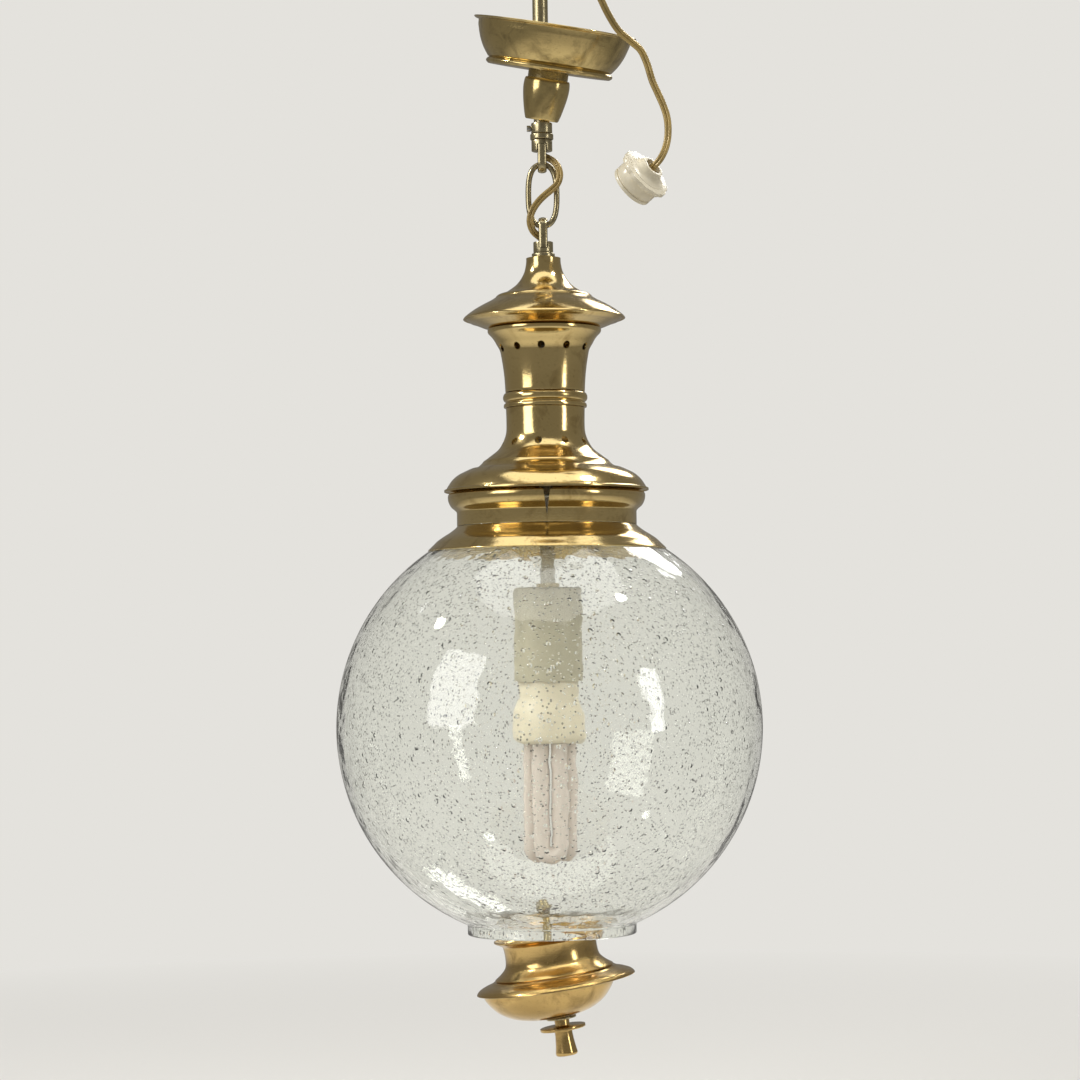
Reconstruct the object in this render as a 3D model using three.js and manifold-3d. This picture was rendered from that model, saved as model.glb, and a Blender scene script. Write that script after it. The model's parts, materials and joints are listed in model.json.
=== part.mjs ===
// Pendant ceiling lamp: a brass lantern with a seeded glass globe, hung by one chain link from a rigid stem.
// Millimetres, +Z up. The origin is the point inside the top eye where the ceiling hook bears.
// X runs to the viewer's right and the viewer looks along +Y.

import * as THREE from 'three';
import * as BufferGeometryUtils from 'three/addons/utils/BufferGeometryUtils.js';
import Module from 'manifold-3d';

const wasm = await Module();
wasm.setup();

// Clearances and general values
const seatGap = 0.3;
const boreClearance = 0.3;
const cutOverrun = 2;
const sheetWall = 0.9;
const right = Math.PI / 2;
const fullTurn = 2 * Math.PI;
const degree = Math.PI / 180;

// Facets round a turned piece
const facets = { wide: 24, middle: 16, small: 12, tiny: 8 };

// Twin flex, flat: its width lies across its two cores
const flex = { width: 5.0, thickness: 2.6, cordHoleRadius: 3.4, sides: 8, freeSteps: 60, linkSteps: 36 };

// Hanging eyes: a flat wire bent into a stirrup, its legs let into the ferrule
const eye = {
  width: 6.4, thickness: 3.2, innerRadius: 4.2, reach: 12.5, lampReach: 14.6,
  legDepth: 4.4, bendSteps: 6, sides: 8,
};
const ferrule = { radius: 7.4, height: 7.9, endWall: 5, lampRadius: 7.0 };
const lockRing = { radius: 8.2, height: 4.1, lampHeight: 3.0, chamfer: 0.6 };

// Stem: tube from ferrule face to ferrule face
const stem = { radius: 5.5, wall: 1.0, faceToFace: 137.3 };

// Stop collar that holds the canopy up
const collar = { radius: 7.5, height: 7.5 };
const setScrew = { headRadius: 2.2, headLength: 2.8, shankRadius: 1.4, slotWidth: 0.7, slotDepth: 0.8 };

// Canopy: dish, cup, bush and ring nut on one axis that leans sideways and nods forward on the stem,
// with its foot set back from the stem's axis
const canopyLean = 9.2 * degree;
const canopyNod = 10 * degree;
const canopySetBack = 3.2;
const cup = { bottomRadius: 11.6, widestRadius: 16.4, height: 29.3 };
const dish = {
  lipRadius: 58.2, bodyRadius: 54.6, baseRadius: 44.4, beadRadius: 45.4, baseHeight: 34.6, beadHeight: 4.4,
  lipHeight: 65.9, lipRise: 1.5,
};
const bush = { wall: 1.2, bottomHeight: 24.6, topHeight: 38.2, flangeWidth: 0.5, flangeHeight: 1.2 };
const ringNut = { width: 4.8, height: 2.4 };

// Chain link: an oval of round wire
const link = { halfWidth: 10.05, halfHeight: 21.95, wireRadius: 2.05, wireSides: 7, steps: 24, seat: 1.1 };

// Centre tube of the lantern and the nuts on it
const centreTube = { radius: 5.0, wall: 1.0 };
const tubeNut = { radius: 8.3, height: 3.0 };

// Hood
const hood = { height: 43.2, brimRadius: 57.5, topRadius: 12.2 };
const soffit = { depth: 6.9, innerRadius: 33 };

// Chimneys with vent holes
const upperChimney = {
  height: 45, flangeRadius: 40.2, waistRadius: 28.1, flangeWidth: 4.2, ventDepth: 14.2,
};
const lowerChimney = { height: 59, topRadius: 27.9, rimOverhang: 2.5, ventDepth: 24.6 };
const bead = { height: 10.6, radius: 29.9, innerRadius: 25.6 };
const vent = { radius: 2.6, sides: 6 };
const upperVents = { count: 11, firstAngle: -4.2 * degree };
const lowerVents = { count: 10, firstAngle: -10 * degree };

// Split collar, skirt ring and the bridge that carries them
const splitCollar = {
  topRadius: 69.8, flangeWidth: 7.8, undercutHeight: 9.4, undercutInset: 2.2, stepInset: 6.3,
  stepHeight: 3.6, height: 22.8, slitTopWidth: 5.4, slitFootWidth: 0.6, slitFoot: 18.4,
};
const skirt = { height: 16.9, topInset: 0.1, spread: 20.9 };
const bridge = { width: 12, thickness: 2 };

// Glass globe with a beaded neck above and a straight lip below
const globe = {
  radius: 150, wall: 3, neckClearance: 0.7, beadWidth: 3.6, beadHeight: 4.2,
  mouthRadius: 59.3, mouthLip: 7.22,
  upperSteps: 4, lowerSteps: 4,
};

// Lampholder
const holder = {
  radius: 24, height: 66, wall: 1.2, lift: 117.5, hangShare: 0.38, coreClearance: 0.5, coreLength: 56,
  threadClearance: 0.7, tubeSocketDepth: 9,
};
const contact = { radius: 4.5, thickness: 1.0 };

// Compact fluorescent lamp
const bulb = {
  shellRadius: 13.2, shellThreadDepth: 0.9, shellLength: 24, shellTurns: 3, crownRadius: 8, tipRadius: 4.6,
  tipFlatRadius: 2.3, tipHeight: 2.2, neckRadius: 21.2, bodyRadius: 25.8, footRadius: 22.4, bodyLength: 51.5,
};
const uTube = { radius: 5.8, circleRadius: 13, bottomDepth: 84.5, count: 3, sides: 8, bendSteps: 6 };

// Bottom closure: cross bar in the globe, ball-seated nut, rod, finial, dome and knob
const closureLean = 8.1 * degree;
const crossBar = { width: 12, thickness: 2.4, mouthRise: 14.4, slotHalfWidth: 3.4, slotHalfLength: 5.4 };
const ballNut = { radius: 5.5, topRise: 1.2, offset: -5.5, steps: 3 };
const rod = { radius: 2.9, topRise: 3.6 };
const finial = {
  rimDrop: 54.6, rimRadius: 56.2, lipRadius: 38.8, lipRise: 35.3, footRadius: 41.9, plateRise: 7.3,
  footRise: 8.6,
};
const dome = { radius: 47, depth: 24.8, rimRise: 1.6, shift: 5.4, holeRim: 0.9 };
const domeWasher = { radius: 10.5, thickness: 1.2 };
const knob = {
  bossRadius: 5.2, bossLength: 4.9, flangeRadius: 16, flangeThickness: 2.2, barrelTopRadius: 6.2,
  barrelFootRadius: 7.8, barrelLength: 18.3, endWall: 4,
};

// Ceiling plug on the flex
const plug = {
  flangeRadius: 19.5, flangeThickness: 3.2, scallops: 12, scallopDepth: 0.9, bossFootRadius: 14.5,
  bossTopRadius: 8.2, bossHeight: 7, cordHoleRadius: 6, cordHoleDepth: 8, bodyRadius: 16, bodyLength: 12,
  grooveDepth: 0.9, grooveWidth: 1.4, grooveRise: 2.4, pinRadius: 2, pinLength: 1.6, pinSpacing: 16,
};
const plugAxis = new THREE.Vector3(0.676, -0.5, 0.548).normalize();
const plugCentre = new THREE.Vector3(71.9, -60, -175.8);

// Shares of height and of the widest radius along each outline, from the top down
const cupCurveShares = [[0.067, 0.963], [0.133, 1], [0.266, 1], [0.633, 0.872]];
const dishCurveShares = [[0.43, 0.95], [0.65, 0.89]];
const hoodCurveShares = [
  [0.17, 0.235], [0.43, 0.355], [0.56, 0.50], [0.61, 0.57], [0.655, 0.60], [0.72, 0.665], [0.78, 0.765],
  [0.85, 0.87], [0.92, 0.94],
];
const soffitCurveShares = [[0.38, 0.93], [0.92, 0.73]];
const upperChimneyCurveShares = [[0.07, 1], [0.175, 0.89], [0.33, 0.79], [0.60, 0.738]];
const beadCurveShares = [[0, 0.96], [0.13, 1], [0.60, 1], [0.77, 0.95], [1, 0.983]];
const lowerChimneyCurveShares = [
  [0.26, 0.0034], [0.4, 0.0572], [0.51, 0.1728], [0.615, 0.3568], [0.72, 0.4871],
  [0.755, 0.6743], [0.81, 0.8046], [0.87, 0.886],
];
const skirtCurveShares = [[0.26, 0.25], [0.42, 0.46], [0.77, 0.81]];
const ballastCurveShares = [[0.41, 0.822], [0.615, 1], [0.93, 1]];
const neckCurveShares = [[0.05, 0.985], [0.18, 0.846], [0.62, 0.846], [0.82, 0.92]];
const finialRimCurveShares = [[0.30, 0.86], [0.68, 0.97]];
const domeCurveShares = [[0.20, 0.975], [0.39, 0.915], [0.64, 0.795], [0.84, 0.615], [0.94, 0.436]];

// Route of the free flex from the top eye, over the canopy's lip and down to the plug
const freeFlexRoute = [
  [0, 0, -12.5], [0, 0, -10.9], [0.9, -0.3, -8.2], [3.2, -0.9, -5.4], [7.5, -4, -2], [11.5, -11, 2.5],
  [14.5, -20, 6.5],
  [17.5, -30, 8.5], [20.8, -41.5, 7.2], [24, -51.5, 2.6], [27, -58.5, -6.5], [29.93, -62, -19],
  [33.92, -63.2, -33], [37.9, -63.4, -45.5], [42.1, -63.2, -55.6], [47.4, -62.6, -66.7],
  [53.9, -61.6, -76.9], [62, -60.6, -84.1], [69, -60.3, -90.6], [73.2, -60.5, -100],
  [76.5, -61, -111.6], [80.2, -61.5, -120.5],
  [83.8, -62, -129.2], [86.2, -62.5, -137.2], [87, -63, -145.2], [86.4, -64, -153.5], [84.4, -65.3, -161],
  [80.9, -65.8, -167.6], [76.6, -63.5, -172], [73.9, -61.5, -174.2], [71.45, -59.67, -176.15],
];

// Route of the flex through the chain link, from the stem's ferrule to the lantern's ferrule
const linkFlexRoute = [
  [0, 0, -150.1], [0, 0, -151.4], [1.3, -0.4, -153.2], [4.4, -1.4, -154.9], [8.3, -3.0, -157.6],
  [11.4, -4.4, -162.4],
  [12.3, -4.9, -168.4], [10.4, -4.9, -174], [6.2, -4.4, -178], [1.8, -4.1, -181.5], [-2.5, -4.1, -185.6],
  [-6.2, -4.4, -190.6], [-8.6, -4.7, -196], [-9.0, -4.3, -201.5], [-7.2, -2.8, -206.6], [-4.0, -1.2, -209.8],
  [-1.3, -0.4, -211.8], [0, 0, -213.2], [0, 0, -214.2],
];

// Heights of the hanging parts, worked down from the hook
const shoulderRimRadius = splitCollar.topRadius + lowerChimney.rimOverhang;
const collarFlangeRadius = splitCollar.topRadius - splitCollar.flangeWidth;
const collarUndercutRadius = splitCollar.topRadius - splitCollar.undercutInset;
const collarStepRadius = splitCollar.topRadius - splitCollar.stepInset;
const skirtTopRadius = collarStepRadius - skirt.topInset;
const skirtBottomRadius = skirtTopRadius + skirt.spread;
const topFerruleFace = -eye.reach;
const stemFerruleFace = topFerruleFace - stem.faceToFace;
const topLockRingTop = topFerruleFace - ferrule.height - seatGap;
const stemLockRingBottom = stemFerruleFace + ferrule.height + seatGap;
const collarBottom = stemLockRingBottom + lockRing.height + seatGap;
const collarTop = collarBottom + collar.height;
const canopySlope = Math.hypot(Math.tan(canopyLean) / Math.cos(canopyNod), Math.tan(canopyNod));
const canopyFoot = collarTop + collar.radius * canopySlope + canopySetBack * Math.tan(canopyNod) + seatGap;
const stemEyeApex = stemFerruleFace - eye.reach;
const linkTopCentre = stemEyeApex + link.seat + link.wireRadius;
const linkCentre = linkTopCentre - link.halfHeight;
const linkBottomCentre = linkCentre - link.halfHeight;
const lampEyeApex = linkBottomCentre + link.wireRadius + link.seat;
const lampFerruleFace = lampEyeApex - eye.lampReach;
const lampLockRingTop = lampFerruleFace - ferrule.height - seatGap;

// Heights of the lantern, worked down from the hood's top
const hoodTop = lampLockRingTop - lockRing.lampHeight - seatGap;
const hoodBrim = hoodTop - hood.height;
const upperChimneyTop = hoodBrim - soffit.depth - seatGap;
const beadTop = upperChimneyTop - upperChimney.height - seatGap;
const lowerChimneyTop = beadTop - bead.height - seatGap;
const shoulderRim = lowerChimneyTop - lowerChimney.height;
const splitCollarTop = shoulderRim - sheetWall - seatGap;
const splitCollarBottom = splitCollarTop - splitCollar.height;
const skirtTop = splitCollarBottom - seatGap;
const skirtBottom = skirtTop - skirt.height;
const bridgeTop = splitCollarTop - sheetWall - seatGap;
const bridgeBottom = bridgeTop - bridge.thickness;
const skirtSeatDrop = Math.sqrt(globe.radius ** 2 - skirtBottomRadius ** 2);
const globeCentre = skirtBottom - sheetWall - skirtSeatDrop;
const globeBeadFoot = splitCollarTop - splitCollar.undercutHeight - seatGap;
const mouthDrop = Math.sqrt(globe.radius ** 2 - globe.mouthRadius ** 2) + globe.mouthLip;
const mouthFoot = globeCentre - mouthDrop;
const crossBarTop = mouthFoot + crossBar.mouthRise;
const holderTop = crossBarTop + holder.lift + (bridgeBottom - crossBarTop) * holder.hangShare;
const holderBottom = holderTop - holder.height;
const coreTop = holderTop - holder.wall - seatGap;
const tubeTop = lampFerruleFace - ferrule.endWall - seatGap;
const tubeBottom = coreTop - holder.tubeSocketDepth;
const coreBottom = coreTop - holder.coreLength;
const bulbTop = coreBottom - seatGap;
const shellTop = bulbTop + seatGap + bulb.shellLength;
const contactBottom = shellTop + bulb.tipHeight + 2 * seatGap;
const socketTop = contactBottom + contact.thickness + seatGap;
const uTubeTop = bulbTop - bulb.bodyLength - seatGap;
const crossBarBottom = crossBarTop - crossBar.thickness;
const ballDepth = Math.sqrt(ballNut.radius ** 2 - crossBar.slotHalfWidth ** 2);
const closurePivot = crossBarTop + ballDepth + seatGap;

// Materials
const finishes = {
  agedBrass: { color: 0xb59a55, roughness: 0.28, metalness: 1 },
  dullBrass: { color: 0x8f7f5c, roughness: 0.42, metalness: 1 },
  warmBrass: { color: 0xc08f3c, roughness: 0.26, metalness: 1 },
  steel: { color: 0x5c5850, roughness: 0.5, metalness: 1 },
  seededGlass: { color: 0xd4d6c8, roughness: 0.08, metalness: 0, transparent: true, opacity: 0.35 },
  goldFlex: { color: 0x9a7a3a, roughness: 0.4, metalness: 0 },
  creamPlastic: { color: 0xe9e3d2, roughness: 0.45, metalness: 0 },
  paleSleeve: { color: 0xc9c5b2, roughness: 0.5, metalness: 0 },
  porcelain: { color: 0xe4e0d6, roughness: 0.3, metalness: 0 },
  frostedTube: { color: 0xe2d6cf, roughness: 0.25, metalness: 0 },
  nickel: { color: 0xa8a59c, roughness: 0.3, metalness: 1 },
};

function finish(name) {
  return new THREE.MeshStandardMaterial(finishes[name]);
}

function addPiece(group, name, geometry, finishName) {
  const mesh = new THREE.Mesh(geometry, finish(finishName));
  mesh.name = name;
  group.add(mesh);
  return mesh;
}

// A closed outline of radius and height turned about Z, with its faces outward
function turned(outline, sides) {
  let area = 0;
  outline.forEach(([r, z], i) => {
    const [nextR, nextZ] = outline[(i + 1) % outline.length];
    area += r * nextZ - nextR * z;
  });
  const ordered = area < 0 ? [...outline].reverse() : [...outline];
  const touchesAxis = outline.some(([r]) => r === 0);
  if (touchesAxis) {
    while (!(ordered[0][0] === 0 && ordered[ordered.length - 1][0] === 0)) ordered.push(ordered.shift());
  } else {
    ordered.push(ordered[0]);
  }
  const points = ordered.map(([r, z]) => new THREE.Vector2(r, z));
  return new THREE.LatheGeometry(points, sides).rotateX(right);
}

// The same line moved sideways by a distance, to the right of its direction of travel when positive
function offsetLine(line, distance) {
  const normals = line.slice(1).map(([r, z], i) => {
    const [fromR, fromZ] = line[i];
    const length = Math.hypot(r - fromR, z - fromZ);
    return [(z - fromZ) / length, -(r - fromR) / length];
  });
  return line.map(([r, z], i) => {
    const before = normals[Math.max(i - 1, 0)];
    const after = normals[Math.min(i, normals.length - 1)];
    const sumR = before[0] + after[0];
    const sumZ = before[1] + after[1];
    const scale = 2 * distance / (sumR ** 2 + sumZ ** 2);
    return [r + sumR * scale, z + sumZ * scale];
  });
}

// Spun sheet metal: an outer line, and the inner line one wall away on its right
function spun(line, sides, wall = sheetWall) {
  return turned([...line, ...offsetLine(line, wall).reverse()], sides);
}

// Points of an outline given as shares of a drop and of a radius
function fromShares(shares, top, drop, radius) {
  return shares.map(([down, out]) => [out * radius, top - down * drop]);
}

// A plain ring between two radii and two heights, its outer corners broken by a chamfer
function ring(innerRadius, outerRadius, bottom, top, sides, chamfer = 0) {
  const corners = chamfer === 0
    ? [[outerRadius, bottom], [outerRadius, top]]
    : [[outerRadius - chamfer, bottom], [outerRadius, bottom + chamfer],
      [outerRadius, top - chamfer], [outerRadius - chamfer, top]];
  return turned([[innerRadius, bottom], ...corners, [innerRadius, top]], sides);
}

// Solid from a closed geometry, for joins and cuts
function solidOf(geometry) {
  const bare = new THREE.BufferGeometry();
  bare.setAttribute('position', geometry.getAttribute('position').clone());
  if (geometry.index) bare.setIndex(geometry.index.clone());
  const merged = BufferGeometryUtils.mergeVertices(bare, 1e-4);
  const indices = merged.index.array;
  const kept = [];
  for (let i = 0; i < indices.length; i += 3) {
    const [a, b, c] = [indices[i], indices[i + 1], indices[i + 2]];
    if (a !== b && b !== c && a !== c) kept.push(a, b, c);
  }
  return new wasm.Manifold(new wasm.Mesh({
    numProp: 3,
    vertProperties: new Float32Array(merged.getAttribute('position').array),
    triVerts: new Uint32Array(kept),
  }));
}

function geometryOf(solid) {
  const mesh = solid.getMesh();
  const geometry = new THREE.BufferGeometry();
  geometry.setAttribute('position', new THREE.BufferAttribute(new Float32Array(mesh.vertProperties), 3));
  geometry.setIndex(new THREE.BufferAttribute(new Uint32Array(mesh.triVerts), 1));
  geometry.computeVertexNormals();
  return geometry;
}

function cutFrom(geometry, tools) {
  let solid = solidOf(geometry);
  tools.forEach((tool) => { solid = solid.subtract(solidOf(tool)); });
  return geometryOf(solid);
}

function joined(geometries) {
  const [first, ...rest] = geometries.map(solidOf);
  return geometryOf(rest.reduce((whole, solid) => whole.add(solid), first));
}

// A box given by its size and centre
function block(width, depth, height, x, y, z) {
  return new THREE.BoxGeometry(width, depth, height).translate(x, y, z);
}

// A rod along Z between two heights
function upright(radius, bottom, top, sides) {
  return new THREE.CylinderGeometry(radius, radius, top - bottom, sides)
    .rotateX(right).translate(0, 0, (bottom + top) / 2);
}

// A closed oval section of a flat wire or flex, thin along its first axis
function ovalSection(thickness, width, sides) {
  const shape = new THREE.Shape();
  for (let i = 0; i < sides; i += 1) {
    const angle = (i + 0.5) / sides * fullTurn;
    const x = thickness / 2 * Math.cos(angle);
    const y = width / 2 * Math.sin(angle);
    if (i === 0) shape.moveTo(x, y); else shape.lineTo(x, y);
  }
  shape.closePath();
  return shape;
}

function swept(section, path, steps) {
  return new THREE.ExtrudeGeometry(section, { steps, extrudePath: path, bevelEnabled: false });
}

function curveThrough(route) {
  return new THREE.CatmullRomCurve3(route.map((point) => new THREE.Vector3(...point)), false, 'centripetal');
}

// Sweep of a section with one ring at each corner of a line
function sweptLine(section, corners) {
  const runs = corners.length - 1;
  const line = new THREE.Curve();
  line.getPoint = (t, target = new THREE.Vector3()) => {
    const index = Math.min(Math.floor(t * runs), runs - 1);
    return target.lerpVectors(corners[index], corners[index + 1], t * runs - index);
  };
  line.getTangent = (t, target = new THREE.Vector3()) => {
    const place = Math.round(t * runs);
    const after = corners[Math.min(place + 1, runs)];
    const before = corners[Math.max(place - 1, 0)];
    return target.subVectors(after, before).normalize();
  };
  line.getPointAt = line.getPoint;
  line.getTangentAt = line.getTangent;
  return swept(section, line, runs);
}

// Eye: a stirrup in the YZ plane whose inner apex lies at z = apex, with its legs up or down from it
function makeEye(apex, reach, legsUp) {
  const bend = eye.innerRadius + eye.thickness / 2;
  const side = legsUp ? 1 : -1;
  const bendCentre = apex + side * eye.innerRadius;
  const legEnd = apex + side * (reach + eye.legDepth);
  const corners = [new THREE.Vector3(0, -bend, legEnd)];
  for (let i = 0; i <= eye.bendSteps; i += 1) {
    const angle = Math.PI * i / eye.bendSteps;
    corners.push(new THREE.Vector3(0, -bend * Math.cos(angle), bendCentre - side * bend * Math.sin(angle)));
  }
  corners.push(new THREE.Vector3(0, bend, legEnd));
  return sweptLine(ovalSection(eye.thickness, eye.width, eye.sides), corners);
}

// Ferrule with its cord hole, tube bore and the two slots that take the eye's legs
function makeFerrule(radius, face, boreRadius, opensUp) {
  const side = opensUp ? 1 : -1;
  const far = face - side * ferrule.height;
  const boreEnd = face - side * ferrule.endWall;
  const body = turned([
    [flex.cordHoleRadius, face], [radius, face], [radius, far], [boreRadius, far], [boreRadius, boreEnd],
    [flex.cordHoleRadius, boreEnd],
  ], facets.small);
  const legInside = eye.innerRadius - seatGap;
  const slotLength = radius - legInside + cutOverrun;
  const slotDepth = eye.legDepth + seatGap + cutOverrun;
  const slotMiddle = face - side * (eye.legDepth + seatGap - cutOverrun) / 2;
  const slots = [-1, 1].map((end) => block(
    eye.width + 2 * seatGap, slotLength, slotDepth, 0, end * (legInside + slotLength / 2), slotMiddle,
  ));
  return cutFrom(body, slots);
}

// Round vent holes through a wall, spaced evenly from a first angle measured from the front
function ventTools(pattern, wallRadius, height) {
  const tools = [];
  for (let i = 0; i < pattern.count; i += 1) {
    const angle = pattern.firstAngle + i / pattern.count * fullTurn;
    const tool = new THREE.CylinderGeometry(vent.radius, vent.radius, wallRadius, vent.sides);
    tools.push(tool.translate(0, -wallRadius, 0).rotateZ(angle).translate(0, 0, height));
  }
  return tools;
}

const lamp = new THREE.Group();

// Hanging eyes with their ferrules and lock rings
function makeFittings() {
  addPiece(lamp, 'top_eye', makeEye(0, eye.reach, false), 'dullBrass');
  const stemBore = stem.radius + boreClearance;
  addPiece(lamp, 'top_ferrule', makeFerrule(ferrule.radius, topFerruleFace, stemBore, true), 'dullBrass');
  addPiece(lamp, 'top_lock_ring', ring(stemBore, lockRing.radius,
    topLockRingTop - lockRing.height, topLockRingTop, facets.small, lockRing.chamfer), 'dullBrass');
  addPiece(lamp, 'stem_lock_ring', ring(stemBore, lockRing.radius, stemLockRingBottom,
    stemLockRingBottom + lockRing.height, facets.small, lockRing.chamfer), 'dullBrass');
  addPiece(lamp, 'stem_ferrule', makeFerrule(ferrule.radius, stemFerruleFace, stemBore, false), 'dullBrass');
  addPiece(lamp, 'stem_eye', makeEye(stemEyeApex, eye.reach, true), 'dullBrass');
  addPiece(lamp, 'lamp_eye', makeEye(lampEyeApex, eye.lampReach, false), 'dullBrass');
  addPiece(lamp, 'lamp_ferrule',
    makeFerrule(ferrule.lampRadius, lampFerruleFace, centreTube.radius + boreClearance, true), 'dullBrass');
  addPiece(lamp, 'lamp_lock_ring', ring(centreTube.radius + boreClearance, lockRing.radius,
    lampLockRingTop - lockRing.lampHeight, lampLockRingTop, facets.small, lockRing.chamfer), 'dullBrass');
}

// Stem tube, seated in the two ferrules
function makeStem() {
  const tubeReach = ferrule.endWall + seatGap;
  addPiece(lamp, 'stem_tube', ring(stem.radius - stem.wall, stem.radius, stemFerruleFace + tubeReach,
    topFerruleFace - tubeReach, facets.small), 'dullBrass');
}

// Stop collar and the screw that clamps it
function makeCollar() {
  const middle = (collarBottom + collarTop) / 2;
  const bore = stem.radius + boreClearance;
  const screwHole = new THREE.CylinderGeometry(
    setScrew.shankRadius + boreClearance, setScrew.shankRadius + boreClearance, collar.radius, facets.tiny,
  ).rotateZ(right).translate(-(bore + collar.radius / 2 - seatGap), 0, middle);
  addPiece(lamp, 'stop_collar',
    cutFrom(ring(bore, collar.radius, collarBottom, collarTop, facets.small), [screwHole]), 'agedBrass');

  const headSeat = collar.radius + seatGap;
  const head = setScrew.headLength;
  const screw = turned([
    [0, stem.radius + seatGap], [setScrew.shankRadius, stem.radius + seatGap],
    [setScrew.shankRadius, headSeat],
    [setScrew.headRadius, headSeat], [setScrew.headRadius, headSeat + head], [0, headSeat + head],
  ], facets.tiny);
  const slot = block(setScrew.headRadius * 2 + cutOverrun, setScrew.slotWidth, setScrew.slotDepth * 2, 0, 0,
    headSeat + head);
  const geometry = cutFrom(screw, [slot]).rotateY(-right).translate(0, 0, middle);
  addPiece(lamp, 'set_screw', geometry, 'steel');
}

// Canopy: cup, dish, bush and ring nut, which lean together from the foot on the collar
function makeCanopy() {
  const canopy = new THREE.Group();
  canopy.position.set(0, canopySetBack, canopyFoot);
  canopy.rotation.set(canopyNod, canopyLean, 0);
  lamp.add(canopy);

  const stemReach = stem.radius * Math.hypot(1, canopySlope) + seatGap;
  const setBack = canopySetBack / Math.cos(canopyNod);
  const sideways = Math.tan(canopyLean) * bush.topHeight;
  const forward = Math.tan(canopyNod) / Math.cos(canopyLean) * bush.topHeight - setBack;
  const bushBore = Math.hypot(sideways, forward) + stemReach;
  const bushRadius = bushBore + bush.wall;
  const bushHole = bushRadius + seatGap;
  const cupHole = setBack + stemReach + Math.tan(canopyLean) * sheetWall;

  addPiece(canopy, 'canopy_cup', spun([
    [bushHole + sheetWall, cup.height],
    ...fromShares(cupCurveShares, cup.height, cup.height, cup.widestRadius),
    [cup.bottomRadius, 0], [cupHole, 0],
  ], facets.middle), 'agedBrass');

  const wallHeight = dish.lipHeight - dish.baseHeight;
  addPiece(canopy, 'canopy_dish', spun([
    [dish.lipRadius, dish.lipHeight], [dish.bodyRadius, dish.lipHeight - dish.lipRise],
    ...fromShares(dishCurveShares, dish.lipHeight, wallHeight, dish.bodyRadius),
    [dish.baseRadius, dish.baseHeight + dish.beadHeight],
    [dish.beadRadius, dish.baseHeight + dish.beadHeight / 2],
    [dish.baseRadius, dish.baseHeight], [bushHole, dish.baseHeight],
  ], facets.wide), 'agedBrass');

  const flangeTop = bush.bottomHeight + bush.flangeHeight;
  addPiece(canopy, 'canopy_bush', turned([
    [bushBore, bush.bottomHeight], [bushRadius + bush.flangeWidth, bush.bottomHeight],
    [bushRadius + bush.flangeWidth, flangeTop], [bushRadius, flangeTop], [bushRadius, bush.topHeight],
    [bushBore, bush.topHeight],
  ], facets.middle), 'dullBrass');
  const nutBottom = dish.baseHeight + sheetWall + seatGap;
  addPiece(canopy, 'canopy_ring_nut', ring(bushHole, bushHole + ringNut.width, nutBottom,
    nutBottom + ringNut.height, facets.middle), 'dullBrass');
}

// Chain link: a ring of round wire drawn out to an oval in the XZ plane
function makeLink() {
  const wireRing = new THREE.TorusGeometry(link.halfHeight, link.wireRadius, link.wireSides, link.steps);
  const places = wireRing.getAttribute('position');
  for (let i = 0; i < places.count; i += 1) {
    const angle = Math.atan2(places.getY(i), places.getX(i));
    const outward = Math.hypot(places.getX(i), places.getY(i)) - link.halfHeight;
    const normal = new THREE.Vector2(Math.cos(angle) / link.halfWidth, Math.sin(angle) / link.halfHeight)
      .normalize();
    places.setXY(i, link.halfWidth * Math.cos(angle) + outward * normal.x,
      link.halfHeight * Math.sin(angle) + outward * normal.y);
  }
  addPiece(lamp, 'chain_link', wireRing.rotateX(right).translate(0, 0, linkCentre), 'dullBrass');
}

// Flex: the free end, the run in the stem, the run through the link and the run down to the lampholder
function makeFlexes() {
  const section = ovalSection(flex.thickness, flex.width, flex.sides);
  addPiece(lamp, 'free_flex', swept(section, curveThrough(freeFlexRoute), flex.freeSteps), 'goldFlex');
  addPiece(lamp, 'link_flex', swept(section, curveThrough(linkFlexRoute), flex.linkSteps), 'goldFlex');
  const at = (height) => new THREE.Vector3(0, 0, height);
  addPiece(lamp, 'stem_flex',
    sweptLine(section, [at(topFerruleFace - seatGap), at(stemFerruleFace)]), 'goldFlex');
  addPiece(lamp, 'lantern_flex',
    sweptLine(section, [at(lampFerruleFace), at(socketTop + seatGap)]), 'goldFlex');
}

// Hood and the soffit that closes it from below
function makeHood() {
  const hole = centreTube.radius + boreClearance;
  const curve = fromShares(hoodCurveShares, hoodTop, hood.height, hood.brimRadius);
  addPiece(lamp, 'hood', spun([
    [hole, hoodTop], [hood.topRadius, hoodTop], ...curve, [hood.brimRadius, hoodBrim],
  ], facets.wide), 'agedBrass');
  const edge = hood.brimRadius - 2 * sheetWall - seatGap;
  addPiece(lamp, 'hood_soffit', spun([
    [edge, hoodBrim], ...fromShares(soffitCurveShares, hoodBrim, soffit.depth, edge),
    [soffit.innerRadius, hoodBrim - soffit.depth],
  ], facets.wide), 'agedBrass');
}

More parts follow.
